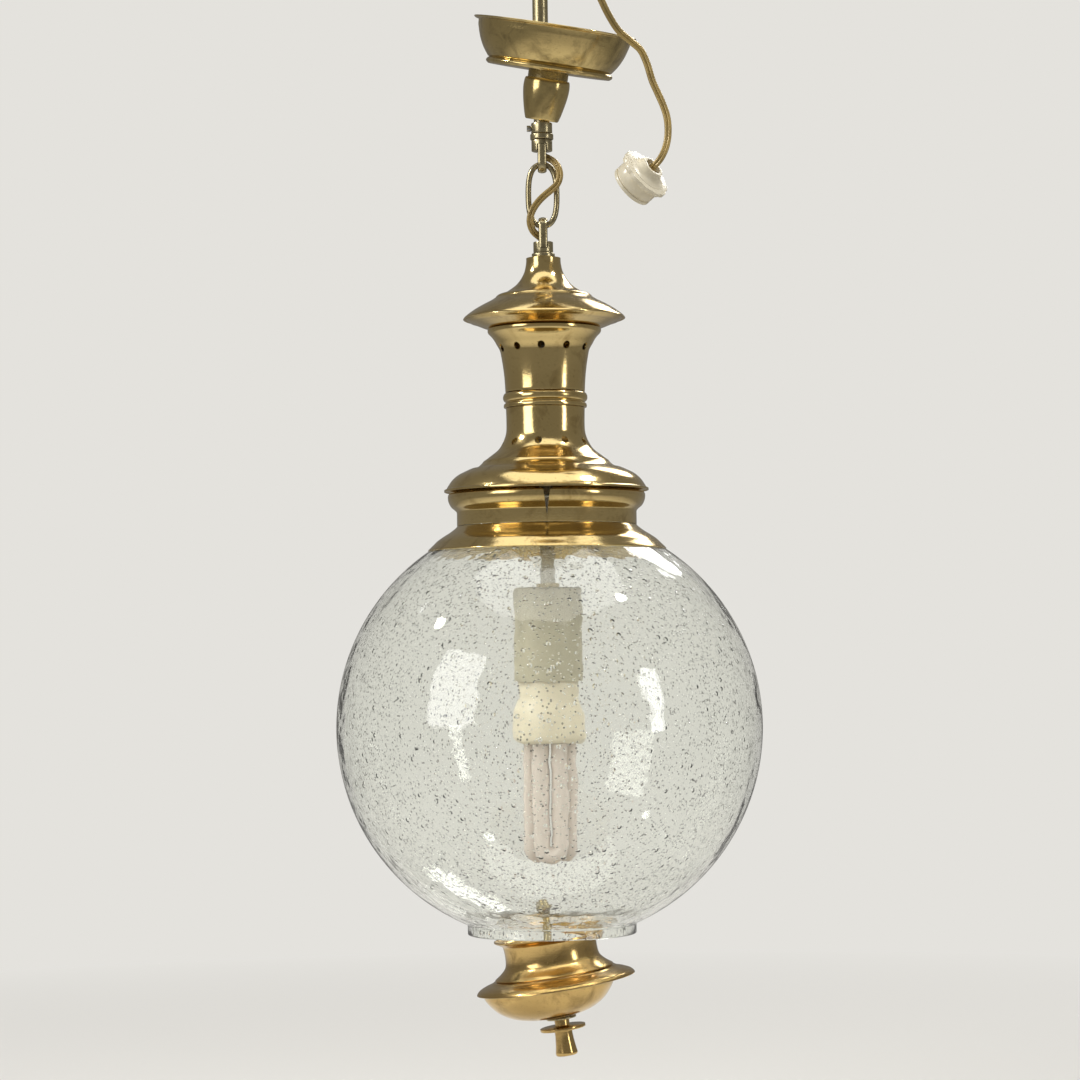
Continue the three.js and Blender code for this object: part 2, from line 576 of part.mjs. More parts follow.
// Upper chimney, waist bead, and lower chimney with its shoulder
function makeChimneys() {
  const upper = upperChimney;
  const upperCurve = fromShares(upperChimneyCurveShares, upperChimneyTop, upper.height, upper.flangeRadius);
  const upperWall = spun([
    [upper.flangeRadius - upper.flangeWidth, upperChimneyTop], [upper.flangeRadius, upperChimneyTop],
    ...upperCurve, [upper.waistRadius, upperChimneyTop - upper.height],
  ], facets.wide);
  addPiece(lamp, 'upper_chimney',
    cutFrom(upperWall, ventTools(upperVents, upper.waistRadius, upperChimneyTop - upper.ventDepth)),
    'agedBrass');

  addPiece(lamp, 'waist_bead', turned([
    [bead.innerRadius, beadTop], ...fromShares(beadCurveShares, beadTop, bead.height, bead.radius),
    [bead.innerRadius, beadTop - bead.height],
  ], facets.wide), 'agedBrass');

  const lower = lowerChimney;
  const shoulderSpread = shoulderRimRadius - lower.topRadius;
  const lowerCurve = lowerChimneyCurveShares.map(([down, out]) => (
    [lower.topRadius + out * shoulderSpread, lowerChimneyTop - down * lower.height]));
  const lowerWall = spun([
    [lower.topRadius, lowerChimneyTop], ...lowerCurve, [shoulderRimRadius, shoulderRim],
  ], facets.wide);
  addPiece(lamp, 'lower_chimney',
    cutFrom(lowerWall, ventTools(lowerVents, lower.topRadius, lowerChimneyTop - lower.ventDepth)),
    'agedBrass');
}

// Split collar with its V slit at the front, the skirt ring, and the bridge inside
function makeCollarAndSkirt() {
  const c = splitCollar;
  const undercutFoot = splitCollarTop - c.undercutHeight;
  const stepFoot = undercutFoot - c.stepHeight;
  const wall = spun([
    [collarFlangeRadius, splitCollarTop], [c.topRadius, splitCollarTop],
    [c.topRadius, splitCollarTop - c.undercutHeight / 3], [collarUndercutRadius, undercutFoot],
    [collarStepRadius, stepFoot], [collarStepRadius, splitCollarBottom],
  ], facets.wide);
  const slitFoot = splitCollarTop - c.slitFoot;
  const slitHead = splitCollarTop + cutOverrun;
  const slitShape = new THREE.Shape([
    new THREE.Vector2(-c.slitFootWidth / 2, slitFoot), new THREE.Vector2(c.slitFootWidth / 2, slitFoot),
    new THREE.Vector2(c.slitTopWidth / 2, slitHead), new THREE.Vector2(-c.slitTopWidth / 2, slitHead),
  ]);
  const slitDepth = c.topRadius - collarFlangeRadius + 2 * cutOverrun;
  const slit = new THREE.ExtrudeGeometry(slitShape, { depth: slitDepth, bevelEnabled: false })
    .rotateX(right).translate(0, -(collarFlangeRadius - cutOverrun), 0);
  addPiece(lamp, 'split_collar', cutFrom(wall, [slit]), 'agedBrass');

  addPiece(lamp, 'skirt_ring', spun([
    [skirtTopRadius, skirtTop],
    ...skirtCurveShares.map(([down, out]) => (
      [skirtTopRadius + out * skirt.spread, skirtTop - down * skirt.height])),
    [skirtBottomRadius, skirtBottom],
  ], facets.wide), 'agedBrass');

  const reach = (splitCollar.topRadius - sheetWall) * Math.cos(Math.PI / facets.wide) - 2 * seatGap;
  const bar = block(2 * reach, bridge.width, bridge.thickness, 0, 0, (bridgeTop + bridgeBottom) / 2);
  const hole = upright(centreTube.radius + boreClearance, bridgeBottom - cutOverrun, bridgeTop + cutOverrun,
    facets.small);
  addPiece(lamp, 'bridge', cutFrom(bar, [hole]), 'steel');
}

// Centre tube and the nuts that clamp the lantern together
function makeCentreTube() {
  addPiece(lamp, 'centre_tube', ring(centreTube.radius - centreTube.wall, centreTube.radius, tubeBottom,
    tubeTop, facets.small), 'nickel');
  const nut = (name, top) => addPiece(lamp, name, ring(centreTube.radius + boreClearance, tubeNut.radius,
    top - tubeNut.height, top, facets.small), 'dullBrass');
  nut('hood_nut', hoodTop - sheetWall - seatGap);
  nut('bridge_nut', bridgeBottom - seatGap);
  nut('holder_nut', holderTop + seatGap + tubeNut.height);
}

// Globe: two spherical walls, a beaded neck above and a straight lip below
function makeGlobe() {
  const neckRadius = collarStepRadius - sheetWall - globe.neckClearance;
  const beadRadius = neckRadius + globe.beadWidth;
  const beadHead = globeBeadFoot + globe.beadHeight;
  const arc = (radius, from, to, steps) => {
    const points = [];
    for (let i = 0; i <= steps; i += 1) {
      const angle = from + (to - from) * i / steps;
      points.push([radius * Math.sin(angle), globeCentre + radius * Math.cos(angle)]);
    }
    return points;
  };
  const wallLine = (radius, neck, mouth) => [
    ...arc(radius, Math.asin(neck / radius), right, globe.upperSteps),
    ...arc(radius, right, Math.PI - Math.asin(mouth / radius), globe.lowerSteps).slice(1),
  ];
  const inside = globe.radius - globe.wall;
  const barAngle = Math.acos(-(globeCentre - crossBarBottom) / inside);
  addPiece(lamp, 'globe', turned([
    [neckRadius - globe.wall, beadHead], [beadRadius, beadHead], [beadRadius, globeBeadFoot],
    [neckRadius, globeBeadFoot], ...wallLine(globe.radius, neckRadius, globe.mouthRadius),
    [globe.mouthRadius, mouthFoot], [globe.mouthRadius - globe.wall, mouthFoot],
    [globe.mouthRadius - globe.wall, globeCentre + inside * Math.cos(Math.PI
      - Math.asin((globe.mouthRadius - globe.wall) / inside))],
    ...arc(inside, barAngle, right, globe.lowerSteps),
    ...arc(inside, right, Math.asin((neckRadius - globe.wall) / inside), globe.upperSteps).slice(1),
  ], facets.wide), 'seededGlass');
}

// Lampholder: outer sleeve, threaded core and the contact tongue inside it
function makeHolder() {
  const hole = centreTube.radius + boreClearance;
  addPiece(lamp, 'holder_sleeve', spun([
    [hole, holderTop], [holder.radius, holderTop], [holder.radius, holderBottom],
  ], facets.middle, holder.wall), 'paleSleeve');
  const coreRadius = holder.radius - holder.wall - holder.coreClearance;
  const socketFloor = tubeBottom - seatGap;
  const threadRadius = bulb.shellRadius + holder.threadClearance;
  addPiece(lamp, 'holder_core', turned([
    [hole, coreTop], [coreRadius, coreTop], [coreRadius, coreBottom], [threadRadius, coreBottom],
    [threadRadius, socketTop], [flex.cordHoleRadius, socketTop], [flex.cordHoleRadius, socketFloor],
    [hole, socketFloor],
  ], facets.small), 'porcelain');
  addPiece(lamp, 'centre_contact', upright(contact.radius, contactBottom, contactBottom + contact.thickness,
    facets.tiny), 'dullBrass');
}

// Compact fluorescent lamp: screw shell, contact tip, ballast housing and U tubes
function makeBulb() {
  const pitch = bulb.shellLength / (bulb.shellTurns + 1);
  const threads = [];
  for (let i = 0; i < bulb.shellTurns; i += 1) {
    const crest = shellTop - (i + 1 / 2) * pitch;
    threads.push([bulb.shellRadius, crest], [bulb.shellRadius - bulb.shellThreadDepth, crest - pitch / 2]);
  }
  addPiece(lamp, 'bulb_screw_shell', turned([
    [0, shellTop], [bulb.crownRadius, shellTop], ...threads, [bulb.shellRadius, bulbTop + seatGap],
    [0, bulbTop + seatGap],
  ], facets.small), 'nickel');
  addPiece(lamp, 'bulb_tip_contact', turned([
    [0, shellTop + seatGap], [bulb.tipRadius, shellTop + seatGap],
    [bulb.tipFlatRadius, shellTop + seatGap + bulb.tipHeight], [0, shellTop + seatGap + bulb.tipHeight],
  ], facets.tiny), 'dullBrass');
  addPiece(lamp, 'ballast_housing', turned([
    [0, bulbTop], [bulb.neckRadius, bulbTop],
    ...fromShares(ballastCurveShares, bulbTop, bulb.bodyLength, bulb.bodyRadius),
    [bulb.footRadius, bulbTop - bulb.bodyLength], [0, bulbTop - bulb.bodyLength],
  ], facets.middle), 'creamPlastic');

  const legSpread = uTube.circleRadius * Math.sin(Math.PI / (2 * uTube.count));
  const legOut = uTube.circleRadius * Math.cos(Math.PI / (2 * uTube.count));
  const bendCentre = uTubeTop - uTube.bottomDepth + legSpread + uTube.radius;
  const section = ovalSection(2 * uTube.radius, 2 * uTube.radius, uTube.sides);
  for (let i = 0; i < uTube.count; i += 1) {
    const corners = [new THREE.Vector3(-legSpread, 0, uTubeTop)];
    for (let j = 0; j <= uTube.bendSteps; j += 1) {
      const angle = Math.PI * j / uTube.bendSteps;
      const across = -legSpread * Math.cos(angle);
      corners.push(new THREE.Vector3(across, 0, bendCentre - legSpread * Math.sin(angle)));
    }
    corners.push(new THREE.Vector3(legSpread, 0, uTubeTop));
    const tube = addPiece(lamp, `u_tube_${i + 1}`, sweptLine(section, corners), 'frostedTube');
    const around = i / uTube.count * fullTurn;
    tube.position.set(legOut * Math.sin(around), -legOut * Math.cos(around), 0);
    tube.rotation.set(0, 0, around);
  }
}

// Cross bar on the glass, and everything that hangs from its ball-seated nut on one leaning axis
function makeClosure() {
  const innerRadius = globe.radius - globe.wall;
  const seatRadius = Math.sqrt(innerRadius ** 2 - (globeCentre - crossBarBottom) ** 2);
  const reach = seatRadius * Math.cos(Math.PI / facets.wide) - 2 * seatGap;
  const barMiddle = crossBarTop - crossBar.thickness / 2;
  const bar = block(2 * reach, crossBar.width, crossBar.thickness, 0, 0, barMiddle);
  const slot = block(2 * crossBar.slotHalfLength, 2 * crossBar.slotHalfWidth,
    crossBar.thickness + cutOverrun, ballNut.offset, 0, barMiddle);
  addPiece(lamp, 'cross_bar', cutFrom(bar, [slot]), 'steel');

  const closure = new THREE.Group();
  closure.position.set(ballNut.offset, 0, closurePivot);
  closure.rotation.set(0, -closureLean, 0);
  lamp.add(closure);
  const rodHole = rod.radius + boreClearance;
  const rim = -finial.rimDrop;

  const lowest = Math.asin(rodHole / ballNut.radius);
  const ball = [];
  for (let i = 0; i <= ballNut.steps; i += 1) {
    const angle = lowest + (right - lowest) * i / ballNut.steps;
    ball.push([ballNut.radius * Math.sin(angle), -ballNut.radius * Math.cos(angle)]);
  }
  addPiece(closure, 'ball_nut', turned([
    ...ball, [ballNut.radius, ballNut.topRise], [rodHole, ballNut.topRise],
  ], facets.tiny), 'dullBrass');

  const neckHeight = finial.lipRise - finial.footRise;
  const neckTop = rim + finial.lipRise;
  addPiece(closure, 'finial_neck', spun([
    [finial.lipRadius, neckTop],
    ...fromShares(neckCurveShares, neckTop, neckHeight, finial.lipRadius),
    [finial.footRadius, neckTop - neckHeight],
  ], facets.wide), 'warmBrass');

  const plate = rim + finial.plateRise;
  addPiece(closure, 'finial_rim', spun([
    [rodHole, plate], [finial.footRadius, plate],
    ...fromShares(finialRimCurveShares, plate, finial.plateRise, finial.rimRadius), [finial.rimRadius, rim],
  ], facets.wide), 'warmBrass');

  const domeHole = rod.radius + dome.shift + boreClearance;
  const domeTop = rim + dome.rimRise;
  const domeGeometry = spun([
    [dome.radius, domeTop], ...fromShares(domeCurveShares, domeTop, dome.depth, dome.radius),
    [domeHole + dome.holeRim, domeTop - dome.depth], [domeHole, domeTop - dome.depth],
  ], facets.wide);
  addPiece(closure, 'finial_dome', domeGeometry, 'warmBrass').position.set(-dome.shift, 0, 0);

  const washerTop = domeTop - dome.depth - seatGap;
  addPiece(closure, 'dome_washer', ring(rodHole, domeWasher.radius, washerTop - domeWasher.thickness,
    washerTop, facets.small), 'dullBrass');

  const bossTop = washerTop - domeWasher.thickness - seatGap;
  const flangeTop = bossTop - knob.bossLength;
  const flangeFoot = flangeTop - knob.flangeThickness;
  const knobFoot = flangeFoot - knob.barrelLength;
  const boreFloor = knobFoot + knob.endWall;
  addPiece(closure, 'knob', turned([
    [0, boreFloor], [rodHole, boreFloor], [rodHole, bossTop], [knob.bossRadius, bossTop],
    [knob.bossRadius, flangeTop], [knob.flangeRadius, flangeTop], [knob.flangeRadius, flangeFoot],
    [knob.barrelTopRadius, flangeFoot], [knob.barrelFootRadius, knobFoot], [0, knobFoot],
  ], facets.middle), 'warmBrass');
  addPiece(closure, 'closure_rod', upright(rod.radius, boreFloor + seatGap, rod.topRise, facets.tiny),
    'dullBrass');
}

// Ceiling plug: scalloped cap with its cord boss, body and two pins, along the plug's own axis
function makePlug() {
  const group = new THREE.Group();
  group.position.copy(plugCentre);
  group.quaternion.setFromUnitVectors(new THREE.Vector3(0, 0, 1), plugAxis);
  lamp.add(group);

  const outline = new THREE.Shape();
  const pointsPerScallop = 4;
  const pointCount = plug.scallops * pointsPerScallop;
  for (let i = 0; i < pointCount; i += 1) {
    const angle = i / pointCount * fullTurn;
    const dip = 1 - Math.abs(Math.sin(angle * plug.scallops / 2));
    const radius = plug.flangeRadius - plug.scallopDepth * dip;
    const place = [radius * Math.cos(angle), radius * Math.sin(angle)];
    if (i === 0) outline.moveTo(...place); else outline.lineTo(...place);
  }
  outline.closePath();
  const flange = new THREE.ExtrudeGeometry(outline, { depth: plug.flangeThickness, bevelEnabled: false })
    .translate(0, 0, -plug.flangeThickness);
  const boss = turned([
    [0, -plug.flangeThickness / 2], [plug.bossFootRadius, -plug.flangeThickness / 2],
    [plug.bossFootRadius, 0],
    [plug.bossTopRadius, plug.bossHeight], [0, plug.bossHeight],
  ], facets.small);
  const cordHole = upright(plug.cordHoleRadius, plug.bossHeight - plug.cordHoleDepth,
    plug.bossHeight + cutOverrun, facets.small);
  addPiece(group, 'plug_cap', cutFrom(joined([flange, boss]), [cordHole]), 'creamPlastic');

  const bodyTop = -plug.flangeThickness - seatGap;
  const bodyFoot = bodyTop - plug.bodyLength;
  const grooveFoot = bodyFoot + plug.grooveRise;
  addPiece(group, 'plug_body', turned([
    [0, bodyTop], [plug.bodyRadius, bodyTop], [plug.bodyRadius, grooveFoot + plug.grooveWidth],
    [plug.bodyRadius - plug.grooveDepth, grooveFoot + plug.grooveWidth],
    [plug.bodyRadius - plug.grooveDepth, grooveFoot], [plug.bodyRadius, grooveFoot],
    [plug.bodyRadius, bodyFoot], [0, bodyFoot],
  ], facets.middle), 'creamPlastic');
  [-1, 1].forEach((side, i) => {
    const pinTop = bodyFoot - seatGap;
    const pin = upright(plug.pinRadius, pinTop - plug.pinLength, pinTop, facets.tiny);
    addPiece(group, `plug_pin_${i + 1}`, pin, 'nickel').position.set(side * plug.pinSpacing / 2, 0, 0);
  });
}

makeFittings();
makeStem();
makeCollar();
makeCanopy();
makeLink();
makeFlexes();
makeHood();
makeChimneys();
makeCollarAndSkirt();
makeCentreTube();
makeGlobe();
makeHolder();
makeBulb();
makeClosure();
makePlug();

export default lamp;
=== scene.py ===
import json
import math

import bpy
from mathutils import Matrix, Vector


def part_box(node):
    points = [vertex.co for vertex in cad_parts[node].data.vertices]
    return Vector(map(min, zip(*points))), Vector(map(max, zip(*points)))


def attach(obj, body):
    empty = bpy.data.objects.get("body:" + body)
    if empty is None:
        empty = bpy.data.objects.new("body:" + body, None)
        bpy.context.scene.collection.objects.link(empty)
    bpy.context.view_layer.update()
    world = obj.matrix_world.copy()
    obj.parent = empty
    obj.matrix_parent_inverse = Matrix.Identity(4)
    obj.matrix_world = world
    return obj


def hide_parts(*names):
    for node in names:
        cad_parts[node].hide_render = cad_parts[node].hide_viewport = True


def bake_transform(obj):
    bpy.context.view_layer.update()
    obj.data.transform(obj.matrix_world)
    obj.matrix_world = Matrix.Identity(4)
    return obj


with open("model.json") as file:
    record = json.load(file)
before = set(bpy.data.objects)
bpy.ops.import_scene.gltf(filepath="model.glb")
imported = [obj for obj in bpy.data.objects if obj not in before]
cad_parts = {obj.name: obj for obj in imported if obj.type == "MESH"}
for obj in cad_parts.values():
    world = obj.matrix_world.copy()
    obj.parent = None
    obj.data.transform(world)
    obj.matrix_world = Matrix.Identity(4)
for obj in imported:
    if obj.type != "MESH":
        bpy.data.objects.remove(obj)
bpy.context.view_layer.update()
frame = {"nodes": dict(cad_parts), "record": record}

bl_info = {
    "name": "Ceiling lamp with a seeded glass globe",
    "version": (1, 0, 0),
    "blender": (4, 5, 0),
    "location": "View3D > Sidebar > Lamp",
    "description": "Builds the lamp piece by piece on the packed frame, with its finishes and its studio",
    "category": "Add Mesh",
}

# Lengths below are in metres, so a size in millimetres is written as a number times MM.
MM = 0.001
BODY_OF = {node: body for body, nodes in frame["record"]["behaviour"]["bodies"].items() for node in nodes}
JOINT = {joint["name"]: joint for joint in frame["record"]["behaviour"]["joints"]}


# Play between pieces that fit or seat on each other
PLAY = 0.3 * MM
# Closer points of one outline are welded
WELD = 0.004 * MM
# Corners sharper than this many degrees are rounded, and stay crisp in the shading
CREASE = 38
# Bore of the fittings round the lantern's flex tube, and the wall of the canopy and the bottom closure
TUBE_BORE = 5.3 * MM
SHEET = 0.9 * MM
# Usual rounding of an edge of spun sheet, and the sharper one round a vent hole
EDGE = 0.25 * MM
VENT_EDGE = 0.18 * MM


def low(node, axis=2):
    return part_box(node)[0][axis]


def high(node, axis=2):
    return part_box(node)[1][axis]


# ---------------------------------------------------------------- sizes and colours

def length(name, about, value):
    return bpy.props.FloatProperty(name=name, description=about, default=value, unit="LENGTH", precision=5)


def angle(name, about, value):
    return bpy.props.FloatProperty(name=name, description=about, default=math.radians(value), subtype="ANGLE")


def count(name, about, value):
    return bpy.props.IntProperty(name=name, description=about, default=value, min=1)


def linear(code):
    """sRGB hex, as in a paint chart, to the linear values that the shaders use."""
    parts = [int(code[i:i + 2], 16) / 255 for i in (1, 3, 5)]
    return tuple(p / 12.92 if p <= 0.04045 else ((p + 0.055) / 1.055) ** 2.4 for p in parts)


def colour(name, about, code):
    return bpy.props.FloatVectorProperty(name=name, description=about, default=linear(code), subtype="COLOR", size=3)


class CanopySizes(bpy.types.PropertyGroup):
    lean: angle("Lean", "How far the canopy leans sideways on the stem", 9.2)
    nod: angle("Nod", "How far the canopy nods towards the front", 10)
    set_back: length("Set back", "How far the cup's foot sits behind the stem's axis", 3.2 * MM)
    cup_height: length("Cup height", "Height of the cup", 29.3 * MM)
    cup_radius: length("Cup radius", "Widest radius of the cup", 16.4 * MM)
    cup_foot: length("Cup foot", "Radius of the cup's flat foot", 11.6 * MM)
    dish_base: length("Dish base", "Height of the dish's base over the cup's foot", 34.6 * MM)
    dish_lip: length("Dish lip", "Height of the dish's lip over the cup's foot", 65.9 * MM)
    dish_radius: length("Dish radius", "Radius of the dish's lip", 58.2 * MM)
    dish_body: length("Dish body", "Radius of the dish under its lip", 54.6 * MM)
    bush_top: length("Bush top", "Height of the bush over the cup's foot", 38.2 * MM)


class StemSizes(bpy.types.PropertyGroup):
    stem_radius: length("Stem radius", "Radius of the stem tube", 5.5 * MM)
    eye_width: length("Eye width", "Width of the flat wire of the eyes", 6.4 * MM)
    eye_thickness: length("Eye thickness", "Thickness of the flat wire of the eyes", 3.2 * MM)
    eye_radius: length("Eye radius", "Inner radius of the eyes", 4.2 * MM)
    link_half_width: length("Link half width", "Half width of the link's centre line", 10.05 * MM)
    link_half_height: length("Link half height", "Half height of the link's centre line", 21.95 * MM)
    link_wire: length("Link wire", "Radius of the link's wire", 2.05 * MM)


class LanternSizes(bpy.types.PropertyGroup):
    wall: length("Sheet", "Thickness of the spun brass", 0.9 * MM)
    hood_radius: length("Hood radius", "Radius of the hood's brim", high("hood", 0))
    shoulder_radius: length("Shoulder radius", "Radius of the shoulder's rim", high("lower_chimney", 0))
    vent_radius: length("Vent radius", "Radius of the vent holes", 2.6 * MM)
    upper_vents: count("Upper vents", "Vent holes in the upper chimney", 11)
    lower_vents: count("Lower vents", "Vent holes in the lower chimney", 10)
    upper_row: length("Upper vent row", "Depth of the upper chimney's vent holes under its top", 14.2 * MM)
    lower_row: length("Lower vent row", "Depth of the lower chimney's vent holes under its top", 24.6 * MM)
    slit_top: length("Slit top", "Width of the collar's slit at its top", 5.4 * MM)
    slit_depth: length("Slit depth", "How far the slit runs down the collar", 18.4 * MM)


class GlobeSizes(bpy.types.PropertyGroup):
    radius: length("Globe radius", "Outer radius of the glass globe", high("globe", 0))
    glass: length("Glass", "Thickness of the glass", 3 * MM)
    mouth_radius: length("Mouth radius", "Outer radius of the lower mouth", 59.3 * MM)
    mouth_drop: length("Mouth drop", "Depth of the mouth's edge under the globe's centre", 145 * MM)
    neck_radius: length("Neck radius", "Outer radius of the upper neck", 61.9 * MM)
    bead_width: length("Neck bead", "How far the neck's bead stands out", 3.6 * MM)
    bead_height: length("Neck bead height", "Height of the neck's bead", 4.2 * MM)


class ClosureSizes(bpy.types.PropertyGroup):
    lean: angle("Lean", "How far the bottom closure leans", 8.1)
    rim_drop: length("Rim drop", "Depth of the rim's edge under the ball nut", 54.6 * MM)
    rim_radius: length("Rim radius", "Radius of the rim's edge", 56.2 * MM)
    lip_radius: length("Lip radius", "Radius of the neck's lip", 38.8 * MM)
    dome_radius: length("Dome radius", "Radius of the dome's edge", 47 * MM)
    dome_shift: length("Dome shift", "How far the dome has slipped to one side", 5.4 * MM)
    rod_radius: length("Rod radius", "Radius of the closure rod", 2.9 * MM)
    ball_radius: length("Ball radius", "Radius of the nut's ball, on which the closure rocks", 5.5 * MM)


class FlexSizes(bpy.types.PropertyGroup):
    width: length("Flex width", "Width across the two cores", 5 * MM)
    thickness: length("Flex thickness", "Thickness of one core with its sheath", 2.6 * MM)
    plug_flange: length("Plug flange", "Radius of the plug's scalloped flange", 19.5 * MM)
    scallops: count("Scallops", "Scallops round the plug's flange", 12)


class LampColours(bpy.types.PropertyGroup):
    brass: colour("Spun brass", "Bright brass of the lantern top", "#DCC286")
    brass_stain: colour("Brass stain", "Brown tarnish on the brass", "#8A6C36")
    bronze: colour("Canopy brass", "Greyer brass of the canopy", "#D0B87E")
    bronze_stain: colour("Canopy stain", "Dark stains on the canopy", "#44361F")
    warm: colour("Warm brass", "Orange brass of the bottom closure", "#D6B576")
    warm_stain: colour("Warm stain", "Tarnish on the bottom closure", "#775F36")
    wire: colour("Wire brass", "Dull brass of eyes, link and ferrules", "#B9AC87")
    wire_stain: colour("Wire stain", "Grime on eyes, link and ferrules", "#4E4534")
    flex: colour("Flex", "Gold-brown sheath of the flex", "#A88F55")
    plastic: colour("Cream plastic", "Plug and ballast housing", "#E6DCC2")
    sleeve: colour("Sleeve", "Lampholder sleeve", "#C2BBA2")
    tube: colour("Tube", "Phosphor-coated tubes", "#D9CDC2")
    glass: colour("Glass", "Body tint of the glass", "#F8F9F5")
    floor: colour("Floor", "Pale floor and backdrop", "#E4E2DD")


GROUPS = (CanopySizes, StemSizes, LanternSizes, GlobeSizes, ClosureSizes, FlexSizes, LampColours)


def sizes(group):
    """The values of one property group, as the sidebar holds them."""
    return getattr(bpy.context.scene, "lamp_" + group.__name__.lower())


# ---------------------------------------------------------------- modelling helpers

def deselect():
    """Nothing selected, and object mode."""
    if bpy.context.mode != "OBJECT":
        bpy.ops.object.mode_set(mode="OBJECT")
    bpy.ops.object.select_all(action="DESELECT")


def only(piece):
    """Select one piece alone and make it active."""
    deselect()
    piece.select_set(True)
    bpy.context.view_layer.objects.active = piece
    return piece


def settle(piece):
    """Put a piece's place, turn and scale into its mesh."""
    only(piece)
    bpy.ops.object.transform_apply(location=True, rotation=True, scale=True)
    return piece


def smooth(piece):
    """Shade a piece smooth, apart from its creases."""
    only(piece)
    bpy.ops.object.shade_smooth_by_angle(angle=math.radians(CREASE))
    return piece


def modify(piece, kind, **settings):
    """Add one modifier with its settings and apply it."""
    only(piece)
    made = piece.modifiers.new(kind.title(), kind)
    for key, value in settings.items():
        setattr(made, key, value)
    bpy.ops.object.modifier_apply(modifier=made.name)
    return piece


def soften(piece, width=EDGE, degrees=CREASE, segments=2):
    """Round the sharp edges a little, as handling and polishing do, and shade the rest smooth."""
    modify(piece, "BEVEL", width=width, segments=segments, limit_method="ANGLE", angle_limit=math.radians(degrees),
           harden_normals=False)
    return smooth(piece)


def turned(name, outline, sides=96):
    """Spin a closed outline of (radius, height) points about Z. A point is extruded along it, and the line spun."""
    deselect()
    radius, height = outline[0]
    bpy.ops.mesh.primitive_plane_add(size=MM, location=(radius, 0, height))
    piece = bpy.context.active_object
    piece.name = piece.data.name = name
    bpy.ops.object.mode_set(mode="EDIT")
    bpy.ops.mesh.merge(type="CENTER")
    for (r, z), (next_r, next_z) in zip(outline, outline[1:]):
        bpy.ops.mesh.extrude_vertices_move(TRANSFORM_OT_translate={"value": (next_r - r, 0, next_z - z)})
    bpy.ops.mesh.select_all(action="SELECT")
    bpy.ops.mesh.spin(steps=sides, angle=2 * math.pi, center=(0, 0, 0), axis=(0, 0, 1))
    bpy.ops.mesh.select_all(action="SELECT")
    bpy.ops.mesh.remove_doubles(threshold=WELD)
    bpy.ops.mesh.normals_make_consistent(inside=False)
    return settle(piece)


def flowing(points, steps=4):
    """A smooth run through points (Catmull-Rom), with some steps between each two."""
    whole = [points[0], *points, points[-1]]
    run = []
    for i in range(1, len(whole) - 2):
        p0, p1, p2, p3 = (Vector(p) for p in whole[i - 1:i + 3])
        for step in range(steps):
            t = step / steps
            run.append(0.5 * (2 * p1 + (p2 - p0) * t + (2 * p0 - 5 * p1 + 4 * p2 - p3) * t ** 2
                              + (3 * p1 - p0 - 3 * p2 + p3) * t ** 3))
    return [tuple(p) for p in run] + [tuple(points[-1])]


def shaped(shares, top, drop, radius, steps=4):
    """Smooth run of an outline given as (share of the drop, share of the radius)."""
    return flowing([(out * radius, top - down * drop) for down, out in shares], steps)


def arc(radius, centre, start, end, steps):
    """Points of (radius, height) round a centre on the axis, from one polar angle to another."""
    return [(radius * math.sin(start + (end - start) * i / steps),
             centre + radius * math.cos(start + (end - start) * i / steps)) for i in range(steps + 1)]


def sheet(line, wall):
    """Closed outline of spun sheet: the line, and its inner side one wall away on the right of its travel."""
    clean = [line[0]]
    for point in line[1:]:
        if math.dist(point, clean[-1]) > 0.02 * MM:
            clean.append(point)
    normals = []
    for (r, z), (next_r, next_z) in zip(clean, clean[1:]):
        size = math.hypot(next_r - r, next_z - z)
        normals.append(Vector(((next_z - z) / size, -(next_r - r) / size)))
    inner = []
    for i, point in enumerate(clean):
        before, after = normals[max(i - 1, 0)], normals[min(i, len(normals) - 1)]
        both = before + after
        inner.append(tuple(Vector(point) + both * min(2 * wall / both.length_squared, 1.6 * wall / both.length)))
    return clean + inner[::-1] + [clean[0]]


def on_axis(line):
    """Outline of a solid that starts and ends on the axis."""
    return [(0, line[0][1]), *line, (0, line[-1][1])]


def tube(inner, outer, bottom, top):
    return [(inner, top), (outer, top), (outer, bottom), (inner, bottom), (inner, top)]


def leaned(piece, pivot, lean, nod=0.0, shift=0.0):
    """Tip a piece made upright about the origin sideways and then forwards, and move it to its pivot."""
    piece.matrix_world = (Matrix.Translation(pivot) @ Matrix.Rotation(nod, 4, "X") @ Matrix.Rotation(lean, 4, "Y")
                          @ Matrix.Translation((shift, 0, 0)))
    return settle(piece)


def cutter(kind, name="cutter", **settings):
    """A primitive that a boolean cuts with."""
    deselect()
    getattr(bpy.ops.mesh, f"primitive_{kind}_add")(**settings)
    tool = bpy.context.active_object
    tool.name = name
    return settle(tool)


def cut(piece, tools):
    """Cut a piece by tools joined into one, which are then deleted."""
    deselect()
    for tool in tools:
        tool.select_set(True)
    bpy.context.view_layer.objects.active = tools[0]
    if len(tools) > 1:
        bpy.ops.object.join()
    tool = tools[0]
    modify(piece, "BOOLEAN", operation="DIFFERENCE", solver="EXACT", object=tool)
    only(tool)
    bpy.ops.object.delete()
    return piece


